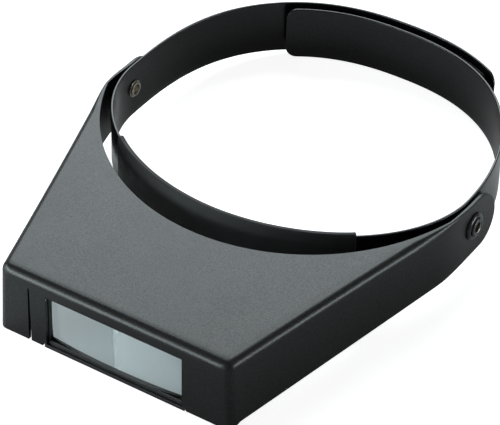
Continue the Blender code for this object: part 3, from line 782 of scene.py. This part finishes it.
@dataclass
class Sleeve:
    """Padded forehead sleeve round the front of the strip, welded along both edges."""

    band: Headband
    half_angle: float = math.radians(51.6)
    rise: float = 1.4 * MM
    pinch: float = 0.15 * MM
    cover: float = 0.6 * MM
    foam_edge: float = 0.4 * MM
    foam_margin: float = 3.0 * MM
    crown: float = 1.6 * MM
    edge_power: int = 9
    groove_depth: float = 0.1925 * MM
    groove_place: float = 2.3 * MM
    groove_width: float = 0.45 * MM
    slack: float = 0.35 * MM
    steps: int = 168
    face_steps: int = 22
    swell_limit: float = 0.6 * MM
    sink_limit: float = 0.05 * MM
    sim_scale: float = 12.0
    sim_frames: int = 20
    pressure: float = 4.0
    stiffness: float = 12.0
    bending: float = 0.4
    quality: int = 6

    def section(self, grow: float, crown: Array) -> tuple[Array, Array]:
        """Section of the sleeve: a crowned forehead face, a flat outer face and two pinched edges.

        The forehead face bulges by crown * (1 - (height / foam)^2), where foam is half the foam's height.
        Both faces draw in to the welded edges along a steep curve, and a shallow groove runs below
        each weld.

        Args:
            grow: how far the section stands outside the sleeve's hollow.
            crown: bulge of each ring.

        Returns:
            Offsets and heights, as rings by columns.
        """
        flat = self.band.thick / 2 + self.band.gap + grow
        pinch = self.pinch + grow
        tip = self.band.width / 2 + self.rise - self.cover + grow
        row = np.sin(np.linspace(-1, 1, self.face_steps) * math.pi / 2)
        height = tip * row
        draw = np.sqrt(np.clip(1 - np.abs(row) ** self.edge_power, 0, 1))
        from_groove = (np.abs(height) - (tip - self.groove_place)) / self.groove_width
        groove = self.groove_depth * np.exp(-(from_groove**2))
        foam = self.band.width / 2 - self.foam_margin
        bulge = np.clip(1 - (height / foam) ** 2, 0, 1)
        depth = flat + (self.foam_edge + self.band.gap) * draw
        inner = -(pinch + (depth - pinch) * draw - groove)[None] - crown[:, None] * bulge[None]
        outer = np.broadcast_to(pinch + (flat - pinch) * draw - groove, inner.shape)
        offsets = np.concatenate((inner, outer[:, ::-1]), axis=1)
        heights = np.concatenate((height, height[::-1]))
        return offsets, np.broadcast_to(self.band.middle + heights, offsets.shape)

    def rings(self, grow: float) -> Array:
        """Rings of the sleeve along the forehead, with the crown drawn in towards both ends."""
        share = np.linspace(-1, 1, self.steps)
        angle = 1.5 * math.pi + self.half_angle * share
        crown = (self.crown - self.slack) * (1 - share**4)
        return self.band.sweep(angle, *self.section(grow, crown))

    def swell(self, rings: Array) -> Array:
        """Blow the outer skin up with a short cloth simulation, welded edges and ends held.

        Args:
            rings: outer skin before it swells.

        Returns:
            The outer skin after it, moved outwards by no more than the swell limit.
        """
        rows, columns = rings.shape[:2]
        start = rings.reshape(-1, 3) * self.sim_scale
        cloth = add_mesh("sleeve_cloth", start, ring_quads(rows, columns).tolist())
        close_mesh(cloth)
        normal = np.empty(len(cloth.data.vertices) * 3, np.float32)
        cloth.data.vertices.foreach_get("normal", normal)
        index = np.arange(rows * columns)
        row, column = np.divmod(index, columns)
        weld = np.isin(column, (0, self.face_steps - 1, self.face_steps, columns - 1))
        held = index[weld | (row < 1) | (row > rows - 2)]
        cloth.vertex_groups.new(name="held").add(held.tolist(), 1.0, "REPLACE")
        modifier = cloth.modifiers.new("cloth", "CLOTH")
        settings = modifier.settings
        settings.vertex_group_mass = "held"
        settings.use_pressure = True
        settings.uniform_pressure_force = self.pressure
        settings.effector_weights.gravity = 0.0
        settings.quality = self.quality
        settings.tension_stiffness = settings.compression_stiffness = self.stiffness
        settings.bending_stiffness = self.bending
        modifier.collision_settings.use_collision = False
        modifier.point_cache.frame_start, modifier.point_cache.frame_end = 1, self.sim_frames
        scene = bpy.context.scene
        for number in range(1, self.sim_frames + 1):
            scene.frame_set(number)
        apply_modifiers(cloth)
        moved = np.empty(rows * columns * 3, np.float32)
        cloth.data.vertices.foreach_get("co", moved)
        bpy.data.objects.remove(cloth, do_unlink=True)
        scene.frame_set(1)
        shift = (moved.reshape(-1, 3) - start) / self.sim_scale
        outward = np.einsum("ij,ij->i", shift, normal.reshape(-1, 3))
        far = np.linalg.norm(shift, axis=1)
        LOG.info("sleeve swells by up to %.2f mm", far.max() / MM)
        shift *= (self.swell_limit / np.maximum(far, self.swell_limit))[:, None]
        shift -= np.minimum(outward + self.sink_limit, 0)[:, None] * normal.reshape(-1, 3)
        return rings + shift.reshape(rings.shape)

    def build(self) -> None:
        """Outer skin, swollen, and inner skin of the sleeve, joined at its open ends."""
        outer, inner = self.rings(self.cover), self.rings(0.0)
        outer = self.swell(outer)
        piece = add_tube("forehead_sleeve", np.concatenate((outer, inner[::-1])), capped=False)
        smooth = piece.modifiers.new("smooth_cloth", "SUBSURF")
        smooth.levels = smooth.render_levels = 1
        dress(piece, SLEEVE_FINISH, Body.HEADBAND, Slot.SLEEVE, "forehead_cover", "forehead_foam")


@dataclass(frozen=True)
class Plan:
    """Right side of the hood in plan, from the front wall to the ear's tip.

    Attributes:
        points: stations along it.
        outward: outward direction at each station.
        last: number of the last station beside the top plate.
    """

    points: Array
    outward: Array
    last: int


@dataclass
class Hood:
    """Visor shell: a sloping plate, two side walls that end in ears, and a front wall with a window."""

    wall: float = 1.6 * MM
    reach: float = 138.2 * MM
    front_half: float = 58.2 * MM
    front_top: float = 4.9 * MM
    top_slope: float = 0.067
    top_crown: float = 0.3 * MM
    draft: float = 0.045
    corner_radius: float = 4.0 * MM
    top_fillet: float = 3.6 * MM
    fillet_share: float = 0.55
    fillet_fade: Pair = (-28.0 * MM, -4.0 * MM)
    edge_round: float = 0.5 * MM
    arc_front: float = 79.9 * MM
    arc_trim: float = 0.05 * MM
    ear_outer: float = 89.9 * MM
    ear_bend: float = 18.0 * MM
    ear_bend_radius: float = 75.0 * MM
    ear_top: float = 12.0 * MM
    ear_drop: float = 15.4 * MM
    ear_rear: float = 18.9 * MM
    ear_mid: float = -3.1 * MM
    ear_upper_run: float = 14.9 * MM
    ear_lower_run: float = 11.4 * MM
    ear_tip_angle: float = math.radians(86)
    ear_rise: Pair = (-24.0 * MM, 0.0)
    rim_rise: Pair = (-22.0 * MM, -4.0 * MM)
    rim_front: float = 26.9 * MM
    rim_lip: float = 2.4 * MM
    rim_slope: float = 0.09
    window_half: float = 34.0 * MM
    window_top: float = -2.3 * MM
    slit_place: float = -42.5 * MM
    slit_top: float = -1.3 * MM
    slit_widths: Pair = (0.7 * MM, 1.5 * MM)
    flange_half: float = 43.4 * MM
    flange_thick: float = 1.8 * MM
    gap: float = 0.3 * MM
    rib_thick: float = 1.6 * MM
    rib_lip: float = 2.8 * MM
    bar_drop: float = 29.9 * MM
    notch_half: float = 36.0 * MM
    notch_rise: float = 2.0 * MM
    rib_low: float = 4.0 * MM
    rib_top: float = 0.5 * MM
    bore: float = 3.2 * MM
    corner_steps: int = 14
    side_steps: int = 56
    bend_steps: int = 12
    ear_steps: int = 36
    fillet_steps: int = 12
    plate_steps: int = 14
    arc_steps: int = 120

    @property
    def side_angle(self) -> float:
        """Angle in plan between a side wall and the middle line."""
        return math.atan2(self.ear_outer - self.front_half, self.reach - self.ear_bend)

    @property
    def below(self) -> float:
        """Height clear of the underside, where the cuts through it start."""
        return -self.bar_drop - self.wall

    @staticmethod
    def bend(corner: Pair, radius: float, turns: Array) -> tuple[Array, Array]:
        """Arc that rounds a corner of the plan: centre plus radius times each outward direction.

        Args:
            corner: sharp corner.
            radius: radius of the arc.
            turns: outward angles along the arc.

        Returns:
            Points and outward directions.
        """
        outward = points_of(np.cos(turns), np.sin(turns))
        first, last = outward[0], outward[-1]
        centre = np.array(corner) - radius * (first + last) / (1 + first @ last)
        return centre + radius * outward, outward

    def plan(self) -> Plan:
        """Front corner, side wall, bend and ear, one after the other."""
        turns = np.linspace(-math.pi / 2, -self.side_angle, self.corner_steps + 1)
        front, front_out = self.bend((self.front_half, -self.reach), self.corner_radius, turns)
        turns = np.linspace(-self.side_angle, 0, self.bend_steps + 1)
        curve, curve_out = self.bend((self.ear_outer, -self.ear_bend), self.ear_bend_radius, turns)
        share = np.linspace(0, 1, self.side_steps + 1)[1:, None]
        side = front[-1] + (curve[0] - front[-1]) * share
        side_out = np.broadcast_to(front_out[-1], side.shape)
        turns = np.linspace(0, self.ear_tip_angle, self.ear_steps + 1)[1:]
        ear = points_of(self.ear_outer, curve[-1, 1] + (self.ear_rear - curve[-1, 1]) * np.sin(turns))
        ear_out = np.broadcast_to(np.array((1.0, 0.0)), ear.shape)
        points = np.concatenate((front, side, curve[1:], ear))
        outward = np.concatenate((front_out, side_out, curve_out[1:], ear_out))
        return Plan(points, outward, len(front) + len(side) + len(curve) // 2 - 1)

    def arc(self, plan: Plan) -> tuple[float, float, Array]:
        """Circle of the plate's rear edge, from side wall to side wall: radius, centre and end."""
        tip = plan.points[plan.last] - plan.outward[plan.last] * (self.wall - self.arc_trim)
        rise = tip[1] + self.arc_front
        radius = (tip[0] ** 2 + rise**2) / (2 * rise)
        return radius, radius - self.arc_front, tip

    @staticmethod
    def stretch(y: Array, limits: Pair) -> Array:
        """Eased share of a stretch along Y."""
        return ease((y - limits[0]) / (limits[1] - limits[0]))

    def ear_round(self, y: Array, run: float) -> Array:
        """Height left at the ear's round end: a quarter circle over its run."""
        along = np.clip((y - self.ear_rear + run) / run, 0, 1)
        return np.sqrt(1 - along * along)

    def roof(self, x: Array, y: Array) -> Array:
        """Height of the top: a plate that slopes with y, crowned across x and eased into the round ear."""
        half = self.front_half + (y + self.reach) * math.tan(self.side_angle)
        plate = self.front_top + self.top_slope * (y + self.reach)
        plate = plate + self.top_crown * np.clip(1 - (x / half) ** 2, 0, None)
        ear = self.ear_mid + (self.ear_top - self.ear_mid) * self.ear_round(y, self.ear_upper_run)
        share = self.stretch(y, self.ear_rise)
        return plate * (1 - share) + ear * share

    def rim(self, y: Array) -> Array:
        """Height of the rim: lowest at the front wall, then a straight slope eased into the round ear."""
        lip = self.rim_lip * (1 - self.stretch(y + self.reach, (self.wall, self.corner_radius)))
        slope = self.rim_slope * (y + self.reach) - self.rim_front - lip
        ear = self.ear_mid - (self.ear_drop + self.ear_mid) * self.ear_round(y, self.ear_lower_run)
        share = self.stretch(y, self.rim_rise)
        return slope * (1 - share) + ear * share

    def lean(self, y: Array) -> Array:
        """Draft of the side walls: full at the front, and none at the ear."""
        along = (y + self.reach) / (self.reach - self.ear_bend)
        return self.draft * np.clip(1 - along * along, 0, None)

    def fillet(self, plan: Plan) -> tuple[Array, Array]:
        """Width and depth of the rounding on top of a side wall: it fades at the ear."""
        radius, centre, tip = self.arc(plan)
        x, y = plan.points.T
        edge = np.sqrt(np.clip(radius**2 - (y - centre) ** 2, 0, None))
        inner = np.where(y < tip[1], np.where(y > -self.arc_front, edge, 0), x - self.wall)
        depth = self.top_fillet + (self.edge_round - self.top_fillet) * self.stretch(y, self.fillet_fade)
        width = np.maximum(np.minimum(depth, self.fillet_share * (x - inner)), self.edge_round)
        return width, depth

    def rings(self, plan: Plan, inset: float, low: Array) -> Array:
        """Sections across X at every station, moved inwards by an inset: wall, elliptic rounding and plate.

        Args:
            plan: stations of the sections.
            inset: distance inside the outer faces.
            low: height of the underside at each station.

        Returns:
            Points, as stations by columns by three.
        """
        width, depth = (np.maximum(size - inset, self.edge_round) for size in self.fillet(plan))
        place = plan.points - plan.outward * inset
        x, y = place[:, :1], place[:, 1:]
        from_front = plan.points[:, 1:] + self.reach + (plan.outward[:, 1:] + 1) * inset
        lowered = corner_cut(from_front, max(self.top_fillet - inset, self.edge_round)) + inset
        shoulder = x - self.lean(y) * (self.roof(x, y) + self.rim_front)
        turn = quarter_turn(self.fillet_steps)[None]
        round_x = shoulder - width[:, None] * (1 - np.cos(turn))
        round_z = self.roof(round_x, y) - lowered - depth[:, None] * (1 - np.sin(turn))
        plate_x = round_x[:, -1:] * np.linspace(1, 0, self.plate_steps + 1)[None, 1:]
        plate_z = self.roof(plate_x, y) - lowered
        half_x = np.concatenate((x, round_x, plate_x), axis=1)
        half_z = np.concatenate((low[:, None], round_z, plate_z), axis=1)
        across = np.concatenate((half_x, -half_x[:, -2::-1]), axis=1)
        return points_of(across, y, np.concatenate((half_z, half_z[:, -2::-1]), axis=1))

    def hollow(self, plan: Plan) -> Piece:
        """Space under the hood: the outer shape moved in by the wall, and run past the rim and the ears."""
        rings = self.rings(plan, self.wall, np.full(len(plan.points), self.below))
        beyond = rings[-1:] + np.array((0, self.ear_rear, 0))
        return add_tube("hood_hollow", np.concatenate((rings, beyond)))

    def clearance(self, plan: Plan) -> Piece:
        """Space for the head: everything between the ears, behind the plate's arc."""
        radius, centre, tip = self.arc(plan)
        inside = plan.points[plan.last:] - plan.outward[plan.last:] * (self.wall - self.arc_trim)
        right = np.concatenate((inside, [(inside[-1, 0], 2 * self.ear_rear)]))
        left = right[::-1] * np.array((-1, 1))
        half_turn = math.asin(tip[0] / radius)
        turns = np.linspace(-half_turn, half_turn, self.arc_steps + 1)[1:-1]
        edge = points_of(radius * np.sin(turns), centre - radius * np.cos(turns))
        outline = np.concatenate((right, left, edge))
        return add_prism("head_clearance", outline, (-2 * self.bar_drop, 2 * self.bar_drop))

    def rib(self, side: Side) -> Piece:
        """L-shaped channel on the inside of the front wall, for one edge of the lens frame."""
        web = self.flange_half + self.gap
        face = -self.reach + self.wall
        behind = face + self.flange_thick + 2 * self.gap
        outline = np.array((
            (web, face - self.wall / 2),
            (web + self.rib_thick, face - self.wall / 2),
            (web + self.rib_thick, behind + self.rib_thick),
            (web - self.rib_lip, behind + self.rib_thick),
            (web - self.rib_lip, behind),
            (web, behind),
        ))
        outline = outline * np.array((side.value, 1))
        return add_prism(f"guide_rib_{side.hand}", outline, (self.rib_low - self.bar_drop, self.rib_top))

    def front_cut(self, name: str, half: Sequence[Pair], middle: float = 0.0) -> Piece:
        """Cut through the front wall, open below: an outline in X and Z, mirrored and carried along Y.

        Args:
            name: name of the tool.
            half: right half of the outline, as (x, z) points from its foot to its top.
            middle: its place along X.

        Returns:
            The tool.
        """
        right = np.array(half)
        outline = np.concatenate((right, right[::-1] * np.array((-1, 1)))) + np.array((middle, 0))
        return add_prism(name, outline, (-self.reach - self.wall, -self.reach + 1.5 * self.wall), axis=1)

    def window(self) -> Piece:
        """Window cut, with a notch at each side for the ends of the lens frame's bar."""
        notch = self.notch_rise - self.bar_drop
        return self.front_cut("front_window", (
            (self.notch_half, self.below),
            (self.notch_half, notch),
            (self.window_half, notch),
            (self.window_half, self.window_top),
        ))

    def slit(self) -> Piece:
        """Cut that frees the clip tongue on the left of the window."""
        narrow, wide = (width / 2 for width in self.slit_widths)
        return self.front_cut("clip_slit", ((wide, self.below), (narrow, self.slit_top)), self.slit_place)

    def build(self) -> None:
        """Outer block, hollowed, cut for the head, the window, the slit and the eyelets."""
        plan = self.plan()
        piece = add_tube("hood_shell", self.rings(plan, 0.0, self.rim(plan.points[:, 1])))
        steps = [
            (add_drill("hood_drill", self.bore, 2 * self.ear_outer), "DIFFERENCE"),
            (self.hollow(plan), "DIFFERENCE"),
            (self.clearance(plan), "DIFFERENCE"),
        ]
        steps += [(self.rib(side), "UNION") for side in Side]
        steps += [(self.window(), "DIFFERENCE"), (self.slit(), "DIFFERENCE")]
        cut_and_join(piece, steps)
        dress(piece, HOOD_FINISH, Body.VISOR, Slot.HOOD, "visor_shell")


@dataclass
class LensCarrier:
    """Lens frame and the two convex lens halves."""

    back: float = -132.5 * MM
    edge: float = 1.8 * MM
    swell: float = 3.2 * MM
    crown: float = 0.4 * MM
    seam: float = 0.03 * MM
    half: float = 33.3 * MM
    low: float = -26.5 * MM
    top: float = -2.6 * MM
    lens_round: float = 0.02 * MM
    frame_round: float = 0.22 * MM
    steps: int = 40
    rows: int = 24

    def lens(self, side: Side) -> None:
        """Lens half: thickness is edge + swell (1 - (x / half)^2) + crown (1 - row^2), on a flat back."""
        x = np.linspace(self.seam, self.half, self.steps)[:, None]
        row = np.linspace(-1, 1, self.rows)[None]
        thick = self.edge + self.swell * (1 - (x / self.half) ** 2) + self.crown * (1 - row**2)
        height = (self.low + self.top) / 2 + (self.top - self.low) / 2 * row
        front, behind = (points_of(side.value * x, y, height) for y in (self.back - thick, self.back))
        piece = add_tube(f"lens_{side.hand}_half", np.concatenate((front, behind[:, ::-1]), axis=1))
        soften(piece, self.lens_round, 1)
        dress(piece, LENS_FINISH, Body.CARRIER, Slot.LENS, f"lens_{side.hand}")

    def carrier(self) -> None:
        """Lens frame: the CAD solid, merged, with its edges rounded."""
        piece = add_object("lens_carrier_frame", frame["nodes"]["lens_frame"].data.copy())
        shape = bmesh.new()
        shape.from_mesh(piece.data)
        bmesh.ops.remove_doubles(shape, verts=shape.verts, dist=MERGE_DISTANCE)
        bmesh.ops.dissolve_limit(shape, angle_limit=FLAT_ANGLE, verts=shape.verts, edges=shape.edges)
        shape.to_mesh(piece.data)
        shape.free()
        soften(piece, self.frame_round)
        dress(piece, FRAME_FINISH, Body.CARRIER, Slot.FRAME, "lens_frame")

    def build(self) -> None:
        """Frame and both lens halves."""
        self.carrier()
        for side in Side:
            self.lens(side)


@dataclass
class Pivots:
    """Eyelet, domed ring, spacer and washer of both sides, turned about the pivot axis."""

    bore: float = 3.2 * MM
    eyelet_radius: float = 2.9 * MM
    eyelet_bore: float = 2.4 * MM
    flange: float = 4.5 * MM
    curl: float = 0.6 * MM
    lip: float = 3.5 * MM
    lip_thick: float = 0.4 * MM
    lip_cut: float = 0.2 * MM
    washer_radius: float = 4.1 * MM
    washer_thick: float = 0.4 * MM
    washer_round: float = 0.15 * MM
    spacer_radius: float = 9.0 * MM
    spacer_thick: float = 0.4 * MM
    spacer_round: float = 0.1 * MM
    cup_base: float = 6.3 * MM
    cup_top: float = 4.9 * MM
    cup_rise: float = 1.3 * MM
    washer_face: float = 85.8 * MM
    lip_face: float = 85.1 * MM
    spacer_face: float = 87.6 * MM
    cup_face: float = 90.2 * MM
    seat: float = 91.8 * MM
    steps: int = 96
    round_steps: int = 4
    dome_steps: int = 12
    curl_steps: int = 20

    def turned(self, name: str, side: Side, profile: Array) -> Piece:
        """Ring turned about X: each (along, radius) point of a closed profile carried round a circle.

        Args:
            name: name of the piece.
            side: side of the head.
            profile: points along the axis and from it.

        Returns:
            The new object.
        """
        turn = full_turn(self.steps)[:, None]
        along, radius = profile.T
        rings = points_of(side.value * along, radius * np.cos(turn), radius * np.sin(turn))
        return add_tube(name, rings, capped=False)

    def plate(self, face: float, thick: float, radius: float, rounding: float) -> Array:
        """Profile of a flat washer with a rounded rim.

        Args:
            face: place of one face along the axis.
            thick: signed thickness from that face.
            radius: outer radius.
            rounding: radius of the rounded rim.

        Returns:
            Points along the axis and from it.
        """
        turn = quarter_turn(self.round_steps)
        inset = math.copysign(1, thick) * rounding * (1 - np.sin(turn))
        rim = radius - rounding * (1 - np.cos(turn))
        first, last = points_of(face + inset, rim)[::-1], points_of(face + thick - inset, rim)
        return np.concatenate(([(face, self.bore)], first, last, [(face + thick, self.bore)]))

    def cup(self) -> Array:
        """Profile of the domed ring: a quarter ellipse from its base to its top."""
        turn = quarter_turn(self.dome_steps)
        along = self.cup_face + self.cup_rise * np.sin(turn)
        dome = points_of(along, self.cup_top + (self.cup_base - self.cup_top) * np.cos(turn))
        return np.concatenate(([(along[0], self.bore)], dome, [(along[-1], self.bore)]))

    def eyelet(self) -> Array:
        """Profile of the eyelet: a tube with a half-round curled flange outside and a flat lip inside."""
        middle, reach = (self.flange + self.eyelet_bore) / 2, (self.flange - self.eyelet_bore) / 2
        turn = np.linspace(0, math.pi, self.curl_steps + 1)
        curl = points_of(self.seat + self.curl * np.sin(turn), middle + reach * np.cos(turn))
        end = self.lip_face - self.lip_thick
        lip = (
            (end, self.eyelet_bore), (end, self.lip - self.lip_cut), (end + self.lip_cut, self.lip),
            (self.lip_face, self.lip), (self.lip_face, self.eyelet_radius), (self.seat, self.eyelet_radius),
        )
        return np.concatenate((curl, lip))

    def build(self) -> None:
        """Turned pieces of both sides."""
        washer = self.plate(self.washer_face, -self.washer_thick, self.washer_radius, self.washer_round)
        spacer = self.plate(self.spacer_face, self.spacer_thick, self.spacer_radius, self.spacer_round)
        kinds = (
            ("eyelet", self.eyelet(), EYELET_FINISH, Slot.EYELET),
            ("washer", washer, WASHER_FINISH, Slot.EYELET),
            ("cup", self.cup(), CUP_FINISH, Slot.CUP),
            ("spacer", spacer, SPACER_FINISH, Slot.SPACER),
        )
        for side in Side:
            for kind, profile, finish, slot in kinds:
                piece = self.turned(f"turned_{kind}_{side.hand}", side, profile)
                dress(piece, finish, Body.HEADBAND, slot, f"pivot_{kind}_{side.hand}")


@dataclass(frozen=True)
class Softbox:
    """Rectangular area lamp that faces the object.

    Attributes:
        name: name of the lamp.
        azimuth: where it stands, in degrees from the front towards +X.
        elevation: degrees above the floor.
        distance: metres from the object.
        size: width and height in metres.
        radiance: brightness of its face.
        mirrored: whether it only shows as a highlight, like a strip of white card.
        colour: colour of its light.
    """

    name: str
    azimuth: float
    elevation: float
    distance: float
    size: Pair
    radiance: float
    mirrored: bool = False
    colour: Colour = (0.90, 1.0, 1.03)

    def build(self) -> None:
        """Lamp turned to the object; its power is pi times its area times its radiance."""
        lamp = bpy.data.lights.new(self.name, "AREA")
        lamp.shape = "RECTANGLE"
        lamp.color = self.colour
        lamp.size, lamp.size_y = self.size
        lamp.energy = math.pi * self.size[0] * self.size[1] * self.radiance
        away = Vector(direction(self.azimuth, self.elevation))
        holder = add_object(self.name, lamp)
        holder.location = away * self.distance
        holder.visible_diffuse = not self.mirrored
        holder.rotation_euler = (-away).to_track_quat("-Z", "Y").to_euler()


@dataclass(frozen=True)
class Seen:
    """How bright a background looks to each kind of ray. Where a ray is of two kinds, both add up.

    Attributes:
        camera: to rays from the camera.
        glossy: to mirrored rays.
        passed: to rays that come through the lens.
        other: to all other rays, which light the object.
    """

    camera: float
    glossy: float
    passed: float
    other: float

    def level(self, sheet: NodeSheet) -> Socket:
        """Brightness by ray kind: other, plus each kind's difference where the ray is of that kind."""
        path = sheet.add("LightPath")
        kinds = {"Camera": self.camera, "Glossy": self.glossy, "Transmission": self.passed}
        total: float | Socket = self.other
        for kind, value in kinds.items():
            total = sheet.math("MULTIPLY_ADD", path.outputs[f"Is {kind} Ray"], value - self.other, total)
        return total


@dataclass
class Studio:
    """White floor and world, soft lamps and the photograph's camera.

    The camera's lengths (distance, right and up) are multiplied by fit_scale.
    """

    floor_half: float = 6.0
    floor_tone: float = 0.72
    floor_glow: Seen = Seen(0.90, 0.14, 0.185, 0.0)
    surround: Seen = Seen(1.0, 0.35, 0.50, 0.08)
    lamps: tuple[Softbox, ...] = (
        Softbox("back_softbox", 213, 40, 1.1, (0.9, 0.7), 6.3),
        Softbox("low_card", -30, 9.5, 1.2, (0.8, 0.42), 12.0, mirrored=True),
        Softbox("near_softbox", -44, 17, 0.36, (0.16, 0.10), 8.0),
        Softbox("side_card", 107, 9.5, 1.2, (0.8, 0.24), 15.0, mirrored=True),
    )
    lens: float = 195.73
    sensor: float = 36.0
    clip: Pair = (0.05, 50.0)
    azimuth: float = 32.38
    elevation: float = 38.54
    roll: float = 1.21
    fit_scale: float = 1.063
    distance: float = 1122.2 * MM
    right: float = 18.52 * MM
    up: float = 24.39 * MM

    def floor(self) -> None:
        """Wide pale floor that glows up to white for the camera and keeps the object's shadow."""
        corners = self.floor_half * np.array(((-1, -1, 0), (1, -1, 0), (1, 1, 0), (-1, 1, 0)))
        floor = add_mesh("studio_floor", corners, [(0, 1, 2, 3)])
        material = bpy.data.materials.new("floor_paper")
        sheet = NodeSheet(material)
        sheet.shade({
            "Base Color": (self.floor_tone,) * 3 + (1,),
            "Roughness": 1.0,
            "Specular IOR Level": 0.0,
            "Emission Color": (1, 1, 1, 1),
            "Emission Strength": self.floor_glow.level(sheet),
        })
        floor.data.materials.append(material)

    def world(self) -> None:
        """World that is white to the camera and a low even light to the rest."""
        world = bpy.data.worlds.new("studio_world")
        sheet = NodeSheet(world, "Background")
        sheet.shade({"Color": (1, 1, 1, 1), "Strength": self.surround.level(sheet)})
        bpy.context.scene.world = world

    def camera(self) -> None:
        """Camera of the photograph: turned by azimuth, elevation and roll at the pivot, then moved back."""
        a, r = math.radians(self.azimuth), math.radians(self.roll)
        back = direction(self.azimuth, self.elevation)
        right = np.array((math.cos(a), math.sin(a), 0))
        up = np.cross(back, right)
        rolled_right = math.cos(r) * right + math.sin(r) * up
        axes = np.stack((rolled_right, math.cos(r) * up - math.sin(r) * right, back))
        place = axes.T @ (self.fit_scale * np.array((-self.right, -self.up, self.distance)))
        matrix = np.eye(4)
        matrix[:3, :3] = STAND.matrix() @ axes.T
        matrix[:3, 3] = STAND.to_row(place)
        data = bpy.data.cameras.new("photo_camera")
        data.lens, data.sensor_width, data.sensor_fit = self.lens, self.sensor, "HORIZONTAL"
        data.clip_start, data.clip_end = self.clip
        camera = add_object("photo_camera", data)
        camera.matrix_world = Matrix(matrix.tolist())
        bpy.context.scene.camera = camera

    def build(self) -> None:
        """Camera, floor, world and lamps."""
        bpy.context.scene.view_settings.view_transform = "Standard"
        self.camera()
        self.floor()
        self.world()
        for lamp in self.lamps:
            lamp.build()


def main() -> None:
    """Build the studio and every sub-assembly in order."""
    logging.basicConfig(level=logging.INFO, format="%(name)s: %(message)s")
    Studio().build()
    headband = Headband()
    headband.strip()
    headband.tape()
    Sleeve(headband).build()
    Hood().build()
    LensCarrier().build()
    Pivots().build()


if __name__ == "__main__":
    main()
